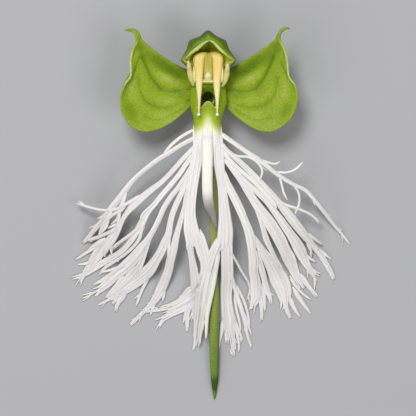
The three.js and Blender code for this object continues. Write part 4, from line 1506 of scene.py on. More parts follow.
@dataclass
class Tubes:
    """The spur and the cut ovary behind the flower.

    Attributes:
        spur: Stations of the nectar tube.
        mouth: Stations of the hollow in its upper end.
        ovary: Stations of the ovary.
        ribs: Number of ribs on the ovary.
        twist: How far the ribs turn along the ovary, in radians.
        lowest: Least height of a point over the surface, in millimetres.
    """

    spur: Rows
    mouth: Rows
    ovary: Rows
    ribs: int = 6
    twist: float = 0.9
    lowest: float = 0.01

    def nectar_tube(self, plan: Plan) -> bpy.types.Object:
        """The spur, with the hollow in its upper end.

        Args:
            plan: The plan.

        Returns:
            The piece.
        """
        rows = through(self.spur, 420)
        mouth = through(self.mouth, 24)
        rings = rod_rings(
            plan, rows, 40, lambda s, a: 1 + 0.012 * math.sin(s * 420) + 0.012 * math.cos(7 * a)
        )
        rings = np.concatenate((rings[::-1], rod_rings(plan, mouth, 40)))
        rings[:, :, 2] = np.maximum(rings[:, :, 2], self.lowest * MM)
        y = np.concatenate((rows[::-1, 1], mouth[:, 1]))[:, None]
        angle = np.arange(40) / 40 * 2 * math.pi
        # Painted light and shade: darker on the right side than the left, lighter on the upper part against
        # the shadow of the lip over it, and pale inside the mouth against its dark hollow. It also darkens
        # towards its tip, with a darker band near the tip.
        shade = 0.38 + 0.12 * np.cos(angle) + 0.24 * smoothstep(290, 390, y)
        shade = shade - 0.38 * smoothstep(275, 225, y) + 0.02 * np.sin(y * 2.1)
        shade += 0.4 * smoothstep(373, 382, y) * smoothstep(395, 388, y)
        shade[-len(mouth) :] = np.linspace(0.1, 0.3, len(mouth))[:, None]
        tissue = Tissue()
        tissue.tube(rings, np.clip(shade, 0, 1), across=1.6)
        return tissue.piece("spur_tube", SPUR_SKIN, "spur_green", "spur")

    def stub(self, plan: Plan) -> bpy.types.Object:
        """The cut ovary, ribbed with a slight twist.

        Args:
            plan: The plan.

        Returns:
            The piece.
        """
        rows = through(self.ovary, 90)
        rings = rod_rings(
            plan, rows, 48, lambda s, a: 0.94 + 0.06 * math.cos(self.ribs * (a + self.twist * s))
        )
        rings[:, :, 2] = np.maximum(rings[:, :, 2], self.lowest * MM)
        turned = np.arange(48) / 48 * 2 * math.pi + self.twist * np.linspace(0, 1, 90)[:, None]
        shade = 0.5 - 0.3 * np.cos(self.ribs * turned)
        tissue = Tissue()
        tissue.tube(rings, np.clip(shade, 0, 1), across=1.6)
        return tissue.piece("ovary_stub", OVARY_SKIN, "ovary_green", "ovary")

    def build(self, plan: Plan) -> list[bpy.types.Object]:
        """Builds the spur and the ovary, in that order."""
        return [self.nectar_tube(plan), self.stub(plan)]


# Plan tables, in plan units and millimetres

SEPAL_LEFT = (
    (197, 73, 196.4, 104), (190, 70, 190.5, 107.5), (184, 67.6, 184, 113.5), (178.5, 65.2, 176.5, 119.6),
    (173, 62.6, 167.3, 125.8), (168, 59.5, 156, 130.7), (162.5, 56.2, 144.5, 132.3),
    (157.5, 52.4, 133, 128.5), (153.5, 49.4, 125, 119.8), (150, 46.6, 120.6, 108),
    (147.5, 44.4, 121.2, 94), (145.8, 42.9, 125.4, 84.2), (145, 42.2, 129.8, 78.6),
    (144.2, 41.4, 130.5, 72.6), (143, 40.1, 130, 62),
    (142.2, 39.2, 132.2, 50.5), (141.4, 37.6, 135.8, 42), (140.7, 35, 135, 37.5),
    (138.5, 31.2, 133.4, 34.2), (133.7, 28.9, 130.5, 32.2), (128.5, 29.2, 128, 31.6),
    (126.2, 29.8, 126.2, 31.2),
)

SEPAL_RIGHT = (
    (219.6, 73, 220, 104), (226, 70, 226, 107.8), (232.5, 67.2, 232, 113.9), (237.5, 64.3, 239.8, 120.2),
    (243, 61, 249, 126.6), (248, 58.2, 259.5, 131.4), (253.5, 55, 271.5, 132.2), (259, 51.3, 283, 126.6),
    (263, 48.4, 291.5, 118.2), (266.5, 46, 296.2, 108), (269.3, 43.8, 297.8, 94.8),
    (271.2, 42.4, 294.6, 85), (272, 41.8, 290, 79.4), (272.8, 41.1, 288.6, 73), (274, 40.2, 288, 64),
    (275, 39.6, 285.4, 51), (275.9, 37.4, 281.4, 43), (276.8, 34.4, 280.2, 37), (279, 30.6, 281.8, 33.4),
    (282.6, 27.6, 284.6, 30.8), (286.6, 27.3, 286.9, 29.7), (288.6, 28.2, 288.6, 29.6),
)

SEPAL_LIFT = (
    (3.1, 3.1, 0), (3.25, 3.2, 0), (3.7, 3.4, -0.2), (4.2, 3.6, -0.5), (4.6, 3.8, -0.8), (4.8, 4, -1),
    (4.9, 4.2, -1.1), (5, 4.4, -1.1), (5, 4.5, -1.1), (5, 4.6, -1.1), (5, 4.7, -1), (5, 4.7, -0.85),
    (5, 4.7, -0.75), (5, 4.7, -0.6), (5, 4.7, -0.4), (5, 4.8, -0.25), (5, 4.9, -0.1), (5.1, 5, 0),
    (5.25, 5.15, 0), (5.45, 5.35, 0), (5.6, 5.5, 0), (5.7, 5.6, 0),
)

HOOD_OUTLINE = (
    (187, 66.8), (180.3, 60.4), (187, 48.8), (189.1, 40.4), (199.8, 36.4), (207.9, 29.3), (216.3, 36),
    (226, 40.4), (229.1, 49.5), (236.5, 61), (229.8, 68.2),
)

HOOD_RIM = (
    (190, 65), (182.8, 60.3), (187.6, 54.6), (195, 47.6), (203.4, 41.9), (209, 39.9), (214, 41.4),
    (220.2, 47.6), (226.6, 54.1), (234.2, 60.8), (227, 66),
)

PETAL_RIM = (
    (190.2, 64.8), (183.8, 60.2), (188.8, 55.8), (198.2, 50), (203.6, 44.6), (209, 40.8), (213.8, 43.8),
    (218.4, 49.6), (225.6, 55.2), (233.2, 60.7), (226.8, 65.8),
)

HOOD_CENTRE = (208, 63)

HOOD_ROWS = (
    (0.34, 0, 3.05), (0.6, 0, 3.1), (0.84, 0, 3.7), (0.94, 0, 4.7), (0.94, 0.1, 5.8),
    (0.94, 0.36, 6.7), (0.94, 0.7, 7.12), (0.94, 1, 7.22),
)

PETAL_ROWS = (
    (0.3, 0, 4.5), (0.42, 0, 4.8), (0.5, 0, 5), (0.6, 0, 5.35), (0.72, 0.15, 5.85), (0.84, 0.5, 6.4),
    (0.92, 0.93, 6.82),
    (0.955, 1, 6.93), (0.955, 1.3, 7.02), (0.955, 1.7, 7), (0.955, 2, 6.9),
)

CHANNEL_LEFT = (
    (52.2, 200.6, 205.4, 5.75, 0.3), (53, 198, 207.2, 5.85, 0.5), (54.4, 195.8, 207, 5.92, 0.75),
    (57, 193.7, 206, 5.95, 0.95), (60, 192.8, 204.9, 5.95, 1.05), (64, 193, 204.6, 5.95, 1.05),
    (68, 193.7, 204.2, 5.95, 1), (72.6, 194.6, 203.7, 5.95, 0.95), (77, 195, 203.2, 5.95, 0.88),
    (83, 195.5, 202.6, 5.95, 0.78), (88, 196.1, 202.2, 5.95, 0.7), (92, 196.8, 201.8, 5.97, 0.62),
    (97, 197.4, 201.1, 6, 0.52), (103, 197.9, 200.5, 6, 0.44), (109, 198.1, 200, 5.98, 0.36),
    (113.4, 198.2, 199.6, 5.95, 0.3),
)

CHANNEL_RIGHT = (
    (52.2, 211, 215.8, 5.75, 0.3), (53.2, 209.4, 219, 5.85, 0.5), (54.8, 209.6, 221.3, 5.92, 0.75),
    (57.2, 210.8, 222.9, 5.95, 0.95), (60, 211.6, 223.7, 5.95, 1.05), (64, 211.8, 223.5, 5.95, 1.05),
    (68, 212, 222.9, 5.95, 1), (72.6, 212.3, 221.9, 5.95, 0.95), (77, 212.6, 221.2, 5.95, 0.88),
    (83, 213.2, 220.6, 5.95, 0.78), (88, 213.7, 220.3, 5.95, 0.7), (92, 214.2, 219.9, 5.97, 0.62),
    (97, 214.9, 219.4, 6, 0.52), (103, 215.7, 218.9, 6, 0.44), (109, 216.3, 218.3, 5.98, 0.36),
    (113.4, 216.6, 218, 5.95, 0.3),
)

DISC_LEFT = (198.8, 114.6, 5.93)
DISC_RIGHT = (217.3, 114.6, 5.93)

FINGER_LEFT = (
    (188.2, 62, 1.8, 0.3, 6.9), (188.9, 65.2, 4, 0.6, 6.55), (189.4, 69.4, 5, 0.75, 6.05),
    (190.2, 74.4, 5.3, 0.8, 5.75), (191.6, 79.6, 5.2, 0.75, 5.5), (194, 85.6, 3, 0.5, 5.3),
)

FINGER_RIGHT = (
    (227.6, 63.8, 1.8, 0.3, 6.9), (227.5, 67, 4, 0.6, 6.55), (227, 70.8, 5, 0.75, 6.05),
    (226.4, 75.6, 5.3, 0.8, 5.75), (224.8, 80.8, 5.2, 0.75, 5.5), (222.2, 86.4, 3, 0.5, 5.3),
)

MID_LOBE = (
    (207.5, 118, 8, 0.7, 4.55), (207.4, 132, 10.4, 0.8, 4.76), (207.4, 148, 11.2, 0.85, 4.86),
    (207.3, 172, 11.2, 0.85, 4.75), (207.4, 190, 11, 0.8, 4.5), (208.2, 200, 10.8, 0.75, 4.15),
    (209.8, 207, 10.5, 0.6, 3.7), (212.4, 213, 8, 0.6, 3.2), (214.8, 220, 6, 0.6, 2.75),
    (217, 227, 4, 0.5, 2.4),
)

SPUR = (
    (207.8, 97.6, 18, 2, 3.52), (207.9, 98.4, 17, 1.85, 3), (208.2, 103, 14.6, 1.6, 2.3),
    (209, 112, 11.6, 1.28, 1.6), (210.5, 128, 9.8, 1.08, 1.05), (213, 155, 9.2, 1.02, 0.7),
    (214.3, 190, 9, 0.99, 0.5), (214.3, 240, 9.1, 1, 0.5), (214.3, 300, 9.6, 1.06, 0.53),
    (214.3, 342, 10, 1.1, 0.55), (214.3, 363, 9.4, 1.04, 0.52), (214.5, 377, 7.8, 0.86, 0.43),
    (214.5, 388, 5.4, 0.6, 0.3), (214.5, 395, 3, 0.34, 0.2), (214.4, 399.6, 1.2, 0.14, 0.16),
)

SPUR_MOUTH = (
    (207.8, 97.5, 13.4, 1.45, 3.56), (207.9, 98.4, 11, 1.2, 3), (208.2, 102.2, 8.6, 0.94, 2.4),
    (208.8, 109, 4.6, 0.5, 1.8),
)

OVARY = (
    (208, 84, 9, 1, 3), (208, 81, 14, 1.5, 2.65), (208, 75, 17, 1.85, 2.05), (208, 66, 18.4, 2, 1.4),
    (208, 55, 18.8, 2.06, 1), (208, 43.5, 18.4, 2.02, 0.95),
)

SIDE_LOBES = (
    (
        (198, 119, 7), (197.6, 130, 9.4), (197.5, 148, 9.6), (196.5, 160, 11.6), (193.4, 178, 11),
        (191, 196, 10.4), (190.2, 215, 10.8), (191.2, 229, 14.6), (194.2, 241, 16.5),
    ),
    (
        (217, 119, 7), (217.2, 130, 9), (218, 148, 10.8), (219.1, 164, 10.6), (221.8, 186, 8.8),
        (223.7, 204, 10.4), (225, 220, 12.6), (225.4, 232, 15), (224.6, 243, 15.4),
    ),
)

FRINGE_LEFT = (
    (
        (195, 129, 4), (190.6, 131.4, 3.2), (182.6, 136, 3), (174, 142.6, 3), (164, 153, 3),
    ),
    (
        (197, 136.5, 4), (191.6, 139.4, 4), (181.5, 144.9, 4), (170, 152.4, 4.2), (160, 158.4, 4.4),
        (150, 165.6, 4.4), (140.4, 173.4, 4.2), (133, 180.4, 4.4), (125.6, 189.6, 5.6), (118.6, 199, 6.4),
        (112, 206.6, 5.4), (106.6, 213.4, 4.6), (101.4, 221, 4.4), (95.6, 227.6, 4), (89, 236, 3.4),
        (82, 243.4, 2),
    ),
    (
        (126.6, 188, 3), (123.4, 200, 3.6), (119.6, 210, 3.4), (118.6, 220, 3), (116.6, 229, 4),
    ),
    (
        (113, 207, 3), (107.6, 212, 2.6), (102, 216.4, 2.2), (97, 218.8, 2),
    ),
    (
        (113, 206, 4), (108.4, 217, 3.6), (105.4, 227, 3.4), (101.6, 233, 2.6),
    ),
    (
        (196, 145, 5), (192, 149.4, 4.4), (183.3, 158.6, 4.6), (173.3, 170, 4.8), (161.7, 181.8, 5),
        (151, 190, 6), (142.4, 197, 7), (134, 204.6, 7.2), (126.6, 213, 5.1), (121.6, 221, 4.7),
        (117.8, 229, 6.1), (112.6, 237, 8.9), (107, 244, 10), (100.6, 251.6, 10.1), (94, 260, 7.1),
        (88, 268, 5.2), (83.6, 274.4, 3.1), (79, 282.8, 2),
    ),
    (
        (143.6, 194, 4), (128.9, 202.3, 3.2), (117.4, 208.6, 2.6), (103, 210, 2.4), (88.7, 207, 2.2),
        (76, 203.2, 2),
    ),
    (
        (119, 225, 4), (112, 230.6, 3.6), (103, 235, 3.4), (92, 239, 3.2), (82.4, 241.6, 2),
    ),
    (
        (106, 240, 4), (97, 246, 3.4), (88, 251.6, 3), (75, 260, 1.8),
    ),
    (
        (126, 205.6, 4), (120, 210.6, 3.4), (113, 214.6, 2.8), (108.6, 219.6, 2),
    ),
    (
        (119, 211, 3), (117, 219, 2.6), (110.6, 224.4, 2),
    ),
    (
        (119, 223, 3), (113, 225.6, 2.4), (107.4, 228.4, 2),
    ),
    (
        (109.6, 211, 5), (105.8, 219.6, 4.6), (101.8, 228.6, 4), (98, 237.4, 2),
    ),
    (
        (105, 238, 5), (97, 243.6, 4), (88.4, 248.8, 2),
    ),
    (
        (103, 243, 7), (97, 252, 7.6), (92, 260, 6.4), (86.6, 268.4, 3),
    ),
    (
        (141, 265, 6), (134.6, 272, 9), (127.4, 280, 9), (119, 289, 6), (107.6, 299.4, 2),
    ),
    (
        (100, 252, 4), (92, 260.4, 3.4), (84, 264, 2.6), (77, 264.6, 2),
    ),
    (
        (110.6, 243, 4), (111.4, 255.4, 2),
    ),
    (
        (104, 246, 4), (104.6, 257.4, 2),
    ),
    (
        (195, 151, 6), (190, 158.6, 4.6), (185, 165.6, 4.4), (180, 173.4, 4.4), (171.7, 183.6, 4.4),
        (163.3, 193.4, 4.6), (155, 203.6, 4.8), (147.6, 213, 5), (142.8, 221, 7), (137, 231, 6),
        (130, 242, 5.4), (122, 250.6, 5.4), (112, 257.4, 5.4), (102, 263, 6), (92.6, 269, 5.6),
        (84, 274.4, 4), (71, 278.8, 2),
    ),
    (
        (159, 199, 2), (148, 208.4, 2), (141.6, 215.4, 2), (140.4, 221, 2.2),
    ),
    (
        (143, 221, 4), (135.6, 230, 3.2), (127.6, 236.6, 3), (118, 243.4, 2.8), (110.4, 249, 2.4),
    ),
    (
        (145.4, 222, 4), (141.6, 230, 3.2), (139.6, 238, 3.2), (133, 247, 3), (124, 255, 3), (113.6, 262, 3),
        (104, 268.6, 2.8), (98.4, 275.6, 2),
    ),
    (
        (191.4, 166, 5), (188.4, 172, 4.4), (184, 179, 4.4), (178.8, 187, 4.6), (171.7, 196, 5),
        (163.4, 209, 5.4), (158.6, 220, 5.4), (153.4, 230, 5.4), (147.4, 240, 6.7), (141, 249, 10),
        (134, 258, 11.6), (125, 267, 11.7), (115, 276, 9.3), (106, 284, 5.8), (97, 291, 2.9),
        (90, 295.4, 2.4), (81.6, 299.2, 2),
    ),
    (
        (126, 262, 5), (116, 270, 4), (104, 279, 3.6), (92.6, 285.2, 2),
    ),
    (
        (118, 276, 5), (108, 286, 3.6), (99, 292.4, 3), (94, 296.8, 2),
    ),
    (
        (124, 276, 5), (114, 288, 3.4), (104.6, 298.4, 2),
    ),
    (
        (128, 264, 4), (114, 269, 3), (99, 273, 2),
    ),
    (
        (151.4, 232, 4), (146.8, 247, 4.6), (142.6, 259.4, 5), (137.6, 270, 7),
    ),
    (
        (189, 170, 4), (186.4, 180, 4.4), (182, 192, 5), (177.4, 202, 5.2), (172.8, 213, 5.2),
        (170, 224, 5.4),
        (168.4, 234, 6.5), (165, 242, 7.9), (161.2, 251, 8.7), (156, 260, 9.6), (149, 270, 12.4),
        (138.6, 279, 13), (128.6, 287, 9.7), (119, 293.6, 4.9), (109, 299.6, 2.4), (97.6, 305.4, 2),
    ),
    (
        (125, 288, 7), (118.4, 295, 6), (112, 304.8, 2),
    ),
    (
        (127, 290, 6), (121, 299, 5), (117.4, 305, 3.4), (115, 312, 2),
    ),
    (
        (150.4, 272, 4), (146.4, 281, 3.2), (141, 292, 3), (137.6, 301, 2.6), (135.6, 306.4, 2),
    ),
    (
        (189.6, 184, 4), (186.6, 194, 4), (184.4, 207, 4.4), (181, 219, 4.8), (177.6, 231, 5.4),
        (175.6, 240, 6.4), (173.6, 250, 7.2), (170.6, 260, 8.3), (168.6, 270, 8.3), (165, 280, 9.3),
        (160.6, 290, 9.9), (155.6, 299, 7.5), (149.6, 306.4, 4.4), (142.6, 313, 2.8), (136, 319.4, 2.4),
        (129.8, 325.4, 2),
    ),
    (
        (169.6, 228, 3), (168.8, 246, 3), (169, 262, 4),
    ),
    (
        (163, 285, 5), (163.4, 293, 4), (162.4, 302, 2),
    ),
    (
        (157, 293, 5), (154, 304, 3.4), (150.2, 316, 2),
    ),
    (
        (190, 236, 9), (190.4, 250, 6.4), (192, 260, 6.4), (193.8, 270, 7.6), (195, 280, 9),
        (196, 291, 10), (197.6, 303, 9),
    ),
    (
        (197, 230, 9), (200.6, 243, 12), (203, 252, 12.4), (205.4, 261, 10), (205.6, 274, 9),
    ),
    (
        (206, 278, 9), (199, 288, 14), (189.6, 296.6, 12), (180.6, 303, 8), (170, 307.6, 5), (157, 310.6, 3),
        (140.4, 312, 2),
    ),
    (
        (199, 298, 11), (189, 306, 9), (178, 311, 6), (168, 316, 4), (159.6, 321.4, 2),
    ),
    (
        (193, 286, 4), (188, 289, 3), (184, 294, 3), (178.4, 298, 2),
    ),
    (
        (190.6, 303, 6), (187.6, 314, 4), (186.8, 332, 2),
    ),
    (
        (188, 306, 4), (185.4, 315, 3), (183, 323.6, 2),
    ),
    (
        (196, 302, 6), (193.4, 312, 3.6), (190.4, 321, 2),
    ),
    (
        (197, 285, 9), (196, 296, 12), (195.4, 306, 8), (196, 318, 3),
    ),
)

FRINGE_RIGHT = (
    (
        (218, 131, 4), (223.6, 135.6, 4.4), (235.7, 144.2, 4.4), (249, 153.4, 4.4), (260.2, 160.6, 4.4),
        (270.4, 169, 4), (278.6, 175.2, 4), (291.8, 183.4, 3.6), (306, 190.5, 3.6), (315.3, 200.7, 3.8),
        (324.5, 212, 4), (334.7, 225.2, 3.4), (342, 233.6, 2.8), (350.4, 244.6, 2),
    ),
    (
        (259, 158.6, 2), (269.4, 162.8, 2), (276, 163.7, 2), (280.2, 161.2, 2),
    ),
    (
        (275, 171.6, 2), (287.8, 172.2, 2), (297, 168, 2), (302.8, 161.8, 2),
    ),
    (
        (278.6, 175, 2), (281.6, 184.4, 2), (283.7, 192.6, 2), (287.4, 200, 2),
    ),
    (
        (291, 183, 2), (298.4, 192.2, 2), (299.2, 203, 2), (294.9, 214, 2),
    ),
    (
        (219, 140, 5), (225, 148.6, 4.4), (233.3, 156.4, 5), (243.3, 165.2, 5.4), (253.3, 175, 6),
        (262, 184.4, 6.6), (270.4, 193.6, 7.4), (277.6, 201, 6.3), (286.2, 211.6, 8.3), (295.4, 223.4, 9.2),
        (304.4, 235, 7.5), (312.6, 245, 5.1), (320.6, 254.6, 4.9), (326.6, 264.6, 4.2), (331, 272.6, 3.2),
        (334.2, 279.6, 2),
    ),
    (
        (230, 152.6, 3), (237, 156, 2.4), (249, 157.2, 2.4), (257, 162, 2.2), (262, 170, 2), (260.2, 180, 2),
    ),
    (
        (274, 198, 3), (284, 204, 2.6), (298, 208.8, 2.4), (310, 214, 2.2), (319.6, 222, 2),
    ),
    (
        (305, 231.6, 3), (313, 237.4, 2.8), (322.4, 244.8, 2),
    ),
    (
        (316, 246.6, 3.4), (323, 252.4, 3), (331.8, 259.8, 2),
    ),
    (
        (306, 240, 3), (309.6, 247, 3), (312.6, 254.4, 2),
    ),
    (
        (303.4, 252, 4), (309, 257.6, 3), (316, 262.2, 2),
    ),
    (
        (222, 150, 4.6), (228.3, 158.4, 4), (236.7, 166.8, 3.8), (246.7, 175.8, 3.8), (256.7, 184.6, 4),
        (264.4, 192.6, 4.4), (271.4, 200.6, 4.6), (276.8, 208.4, 3),
    ),
    (
        (238, 174, 5), (244.6, 180.6, 5), (251.6, 187, 5), (260, 194.6, 5.6), (266.4, 201.4, 4.8),
        (272.6, 209, 5.5), (278.6, 217, 6.5), (284.6, 225.6, 7.4), (290.4, 234, 8.3), (295.6, 242, 10.3),
        (300.4, 251, 11.6), (304.6, 260, 8.5), (309, 267.6, 4.8), (314, 272.6, 2.4), (320, 276.6, 2),
    ),
    (
        (224, 157, 6), (229.4, 164, 6), (235.4, 171.6, 7), (241, 180, 6.8), (247, 190, 7.3), (253.4, 200, 8),
        (260.4, 210, 9.7), (268, 220, 11.1), (274.6, 230, 11.9), (280.4, 240, 12.4), (285, 250, 11.7),
        (290, 260, 12.8), (293.4, 268.6, 9.2), (297, 277, 6.3), (300.6, 283.6, 3.5), (303.8, 289, 2),
    ),
    (
        (255, 206, 3.7), (260.6, 219, 5.1), (263.6, 230, 4.4), (266.4, 239, 5.6), (271.4, 250, 4.5),
        (275.6, 259, 3.6), (279.6, 266, 3.5),
    ),
    (
        (300, 274, 5), (304.6, 281, 5.6), (309.4, 287.6, 3.4), (317.6, 297.2, 2),
    ),
    (
        (306, 266, 5), (311, 273, 4), (317.6, 281, 2),
    ),
    (
        (309, 264, 3), (313.6, 272, 2.6), (315.2, 281, 2.4), (314.6, 290.2, 2),
    ),
    (
        (222.6, 170, 6), (226.2, 181, 6.5), (230.6, 190.5, 7.6), (235.4, 200, 7.9), (240.2, 210, 8),
        (244.4, 220, 7.4), (248.4, 230, 8.5), (251, 240, 9.4), (252.2, 250, 8.5), (254, 260, 10.6),
        (253.6, 270, 9.4), (255.2, 280, 10.5), (256, 290, 12), (255.4, 299, 9.4), (253.2, 305, 4.8),
        (252, 309.6, 2),
    ),
    (
        (259, 286, 6), (260.6, 299, 4.4), (261.8, 310, 3.2), (261.8, 320.8, 2),
    ),
    (
        (262.6, 284, 4), (264.4, 298, 3.4), (265.2, 312, 2),
    ),
    (
        (257, 250, 4), (259.6, 261, 5), (262, 270, 6.2), (264.4, 280, 6), (267, 290, 6.4), (270, 297, 3.6),
        (271.8, 304, 2),
    ),
    (
        (253, 236, 5.1), (257.4, 243, 6), (262, 250.6, 7.5), (268.6, 260, 10.9), (274.6, 270, 14.5),
        (279.6, 280, 18.2), (283.6, 289.6, 15.3), (285.4, 299, 9.9), (286.6, 308, 4.8), (290.7, 318.8, 2),
    ),
    (
        (290, 296, 4.6), (294, 307.6, 3.8), (300.4, 317.8, 2),
    ),
    (
        (293, 287, 4.6), (298.6, 297, 4.6), (304.6, 305.6, 3.6), (311.4, 314.6, 2),
    ),
    (
        (290, 276, 4), (296.6, 287, 2.8), (303, 294, 2.4), (311.6, 300.2, 2),
    ),
    (
        (225, 240, 15), (226.8, 250, 10.4), (227, 260, 10.8), (227.2, 270, 11), (227.4, 280, 11.4),
        (226.6, 290, 10.4), (226.6, 300, 9.8), (227.4, 310, 11.4), (228.6, 320, 12.6), (229.4, 330, 9),
        (231.4, 340, 5), (233.8, 357, 2),
    ),
    (
        (223.6, 318, 5), (222, 330, 4), (219.6, 342, 2.6), (219, 348.4, 2),
    ),
    (
        (226, 326, 5), (226.2, 336, 3.4), (226, 344, 2),
    ),
    (
        (231.6, 322, 5), (233, 336, 3.4), (235.8, 350.4, 2),
    ),
    (
        (232.6, 312, 4), (235.6, 326, 3.6), (238, 338, 3), (240, 349.4, 2),
    ),
    (
        (234, 318, 3), (238.6, 330, 2.6), (242.8, 341, 2),
    ),
    (
        (230, 268, 3.4), (232.6, 280, 3.8), (235.4, 290, 4.2), (237.8, 298, 4.4), (241, 308, 4.4),
        (244, 318, 3.8), (246.4, 330, 3), (248.8, 340, 2.4), (251.4, 348.6, 2),
    ),
    (
        (233.6, 282, 2.8), (240, 293, 2.6), (245, 304, 2.6), (248, 315, 2.2), (250, 326.8, 2),
    ),
    (
        (243, 310, 2.6), (247, 322, 2.4), (251.8, 336, 2),
    ),
    (
        (234.4, 294, 2.8), (236.6, 310, 2.6), (239, 320, 2.2), (241.2, 331, 2),
    ),
    (
        (228, 248, 3), (232, 254.4, 2.2), (240, 268.4, 2.2), (250, 291.8, 2.2), (246.6, 300.6, 2),
    ),
    (
        (221, 238, 9), (216.4, 247, 9.6), (213, 256, 11), (209.6, 266, 13), (206.4, 277, 15), (204, 288, 15),
        (202.4, 299, 14), (200.8, 311, 11), (198.6, 324, 8), (197, 336, 5), (193, 351, 2),
    ),
    (
        (218.6, 250, 5), (217, 262, 4.6), (215, 275, 4.2), (212.4, 289, 4.4), (209.6, 302, 4.4),
        (207, 316, 4), (206.4, 328, 3), (205.8, 339, 2),
    ),
    (
        (203, 318, 6), (200.6, 332, 4), (197.6, 346.8, 2),
    ),
)


# What the photograph shows of the shades

CREASES = (
    (
        (192, 90.5), (187, 89.2), (177, 91.2), (167, 91.2), (160, 88.6), (154.5, 81.5), (149.4, 74),
        (141.5, 58),
    ),
    (
        (191, 99.6), (184, 102.8), (176, 105.4), (167, 107.8), (160, 107.6), (149, 103.6),
        (140.7, 92.8), (138, 78),
    ),
    ((160, 88.4), (152, 78), (146.5, 66), (142.6, 56)),
    ((189, 104), (180, 110.5), (170, 116), (158, 120), (146, 118)),
)
# Patches on a sepal: painted shade over the upper part near the hood, painted light in bands across the
# middle and along the lower edge, a painted sheen by the claw, and patches of the green's own tone.
SEPAL_LIGHT_SHADE_AND_TONE = (
    Zone(163, 66, 20, 5, 35, 0.28),
    Zone(176, 72, 12, 5, 25, 0.26),
    Zone(148, 54, 14, 5, 65, 0.1),
    Zone(131, 112, 9, 5, 60, 0.24),
    Zone(150, 124, 16, 4, 5, 0.08),
    Zone(176, 84, 9, 5, 15, 0.2),
    Zone(160, 98, 20, 5, 20, -0.14),
    Zone(168, 116, 16, 6, -20, -0.12),
    Zone(186, 104, 7, 5, 0, -0.24),
    Zone(130, 92, 5, 14, 10, -0.1),
    Zone(181, 95, 8, 5, 10, 0.16),
    Zone(140, 42, 5, 8, 0, 0.08),
    Zone(171, 81, 17, 4.4, 30, -0.34),
    Zone(156, 121, 22, 6, -8, -0.16),
    Zone(136, 98, 7, 12, 0, -0.04),
    Zone(163, 60, 14, 4, 35, 0.2),
    Zone(138, 48, 7, 6, 60, 0.2),
    Zone(155, 95, 8, 8, 0, 0.1),
    Zone(131, 105, 5, 5, 0, 0.08),
)
COLUMN_SIDES = (
    (52.6, 199, 217.4), (54, 196.6, 220.4), (57, 193.8, 223), (62, 191.4, 225.4), (68, 190, 226.6),
    (75, 190.4, 226.4), (80, 191.6, 225.2), (84.6, 194, 223),
)
LIP_EDGES = (
    (84.6, 193.5, 222.8), (88, 191.2, 225.2), (94, 190.2, 226.3), (103, 190, 226.5), (111, 191.3, 224.4),
    (119, 193.4, 221.8), (127, 193.4, 221.2), (138, 193.6, 221.4), (150, 193.6, 222), (160, 195, 221),
    (166, 199, 216),
)


class Placing(Enum):
    """Numbers of the stage, in metres."""

    CAMERA_DISTANCE = 0.9
    FLOOR_HALF = 0.6
    SUBJECT_HEIGHT = 0.0035


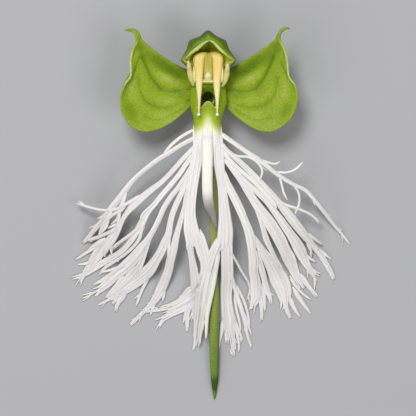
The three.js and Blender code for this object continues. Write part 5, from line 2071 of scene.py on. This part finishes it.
@dataclass
class Studio:
    """Plain floor, soft lights and the camera straight above.

    Attributes:
        floor_colour: Colour of the floor.
        frame_width: Plan units over the width of the picture.
        world_strength: Strength of the even light from all round.
        sensor_width: Width of the camera's sensor in millimetres.
    """

    floor_colour: str = "A8A8AA"
    frame_width: float = PLAN_WIDTH
    world_strength: float = 0.2
    sensor_width: float = 36.0

    def floor(self) -> None:
        """Lays the floor."""
        half = Placing.FLOOR_HALF.value
        mesh = bpy.data.meshes.new("floor")
        corners = [(-half, -half, 0), (half, -half, 0), (half, half, 0), (-half, half, 0)]
        mesh.from_pydata(corners, [], [(0, 1, 2, 3)])
        item = bpy.data.objects.new("floor", mesh)
        bpy.context.scene.collection.objects.link(item)
        material = bpy.data.materials.new("floor_paper")
        material.use_nodes = True
        shader = material.node_tree.nodes["Principled BSDF"]
        shader.inputs["Base Color"].default_value = (*srgb(self.floor_colour), 1.0)
        shader.inputs["Roughness"].default_value = 0.9
        mesh.materials.append(material)

    def lamp(self, name: str, place: tuple[float, float, float], size: float, power: float) -> None:
        """Hangs a soft square lamp that points at the flower.

        Args:
            name: Name of the lamp.
            place: Its place in metres.
            size: Its side in metres.
            power: Its power in watts.
        """
        data = bpy.data.lights.new(name, "AREA")
        data.size = size
        data.energy = power
        item = bpy.data.objects.new(name, data)
        item.location = place
        length = math.sqrt(sum(value * value for value in place))
        turn = math.atan2(place[1], place[0]) + math.pi / 2
        item.rotation_euler = (math.acos(place[2] / length), 0.0, turn)
        bpy.context.scene.collection.objects.link(item)

    def build(self, plan: Plan) -> None:
        """Sets the stage.

        Args:
            plan: The plan, which the camera is centred on.
        """
        self.floor()
        bpy.context.scene.view_settings.view_transform = "Standard"
        self.lamp("key", (-0.07, 0.15, 0.3), 0.12, 0.8)
        self.lamp("fill", (0.2, -0.12, 0.26), 0.2, 0.42)
        self.lamp("low_fill", (-0.2, -0.16, 0.2), 0.2, 0.28)
        world = bpy.context.scene.world or bpy.data.worlds.new("world")
        bpy.context.scene.world = world
        world.use_nodes = True
        backdrop = world.node_tree.nodes["Background"]
        backdrop.inputs["Color"].default_value = (1.0, 1.0, 1.0, 1.0)
        backdrop.inputs["Strength"].default_value = self.world_strength
        data = bpy.data.cameras.new("camera")
        distance = Placing.CAMERA_DISTANCE.value
        data.sensor_width = self.sensor_width
        data.lens = self.sensor_width * distance / (self.frame_width * plan.unit * MM)
        data.clip_start = 0.01
        camera = bpy.data.objects.new("camera", data)
        centre = np.array(self.frame_width / 2)
        middle = plan.at(centre, centre, np.array(0.0))
        camera.location = (middle[0], middle[1], Placing.SUBJECT_HEIGHT.value + distance)
        bpy.context.scene.collection.objects.link(camera)
        bpy.context.scene.camera = camera


def main() -> None:
    """Builds the flower on its frame."""
    logging.basicConfig(level=logging.INFO, format="%(name)s: %(message)s")
    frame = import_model()
    LOG.info("frame with %d nodes", len(frame["nodes"]))
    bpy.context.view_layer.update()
    plan = Plan.from_frame()
    LateralSepal("lateral_sepal_left", SEPAL_LEFT, SEPAL_LIFT, CREASES, SEPAL_LIGHT_SHADE_AND_TONE).build(plan)
    LateralSepal(
        "lateral_sepal_right", SEPAL_RIGHT, SEPAL_LIFT, CREASES, SEPAL_LIGHT_SHADE_AND_TONE, mirrored=True
    ).build(plan)
    Hood(HOOD_OUTLINE, HOOD_RIM, PETAL_RIM, HOOD_CENTRE, HOOD_ROWS, PETAL_ROWS).build(plan)
    Column(
        COLUMN_SIDES,
        back=3.65,
        front=5.65,
        channels={"anther_left": CHANNEL_LEFT, "anther_right": CHANNEL_RIGHT},
        discs={"viscidium_left": DISC_LEFT, "viscidium_right": DISC_RIGHT},
        disc_radius=0.17,
        fingers={"auricle_left": FINGER_LEFT, "auricle_right": FINGER_RIGHT},
    ).build(plan)
    Lip(LIP_EDGES, MID_LOBE, SIDE_LOBES, FRINGE_LEFT, FRINGE_RIGHT).build(plan)
    Tubes(SPUR, SPUR_MOUTH, OVARY).build(plan)
    Studio().build(plan)


if __name__ == "__main__":
    main()
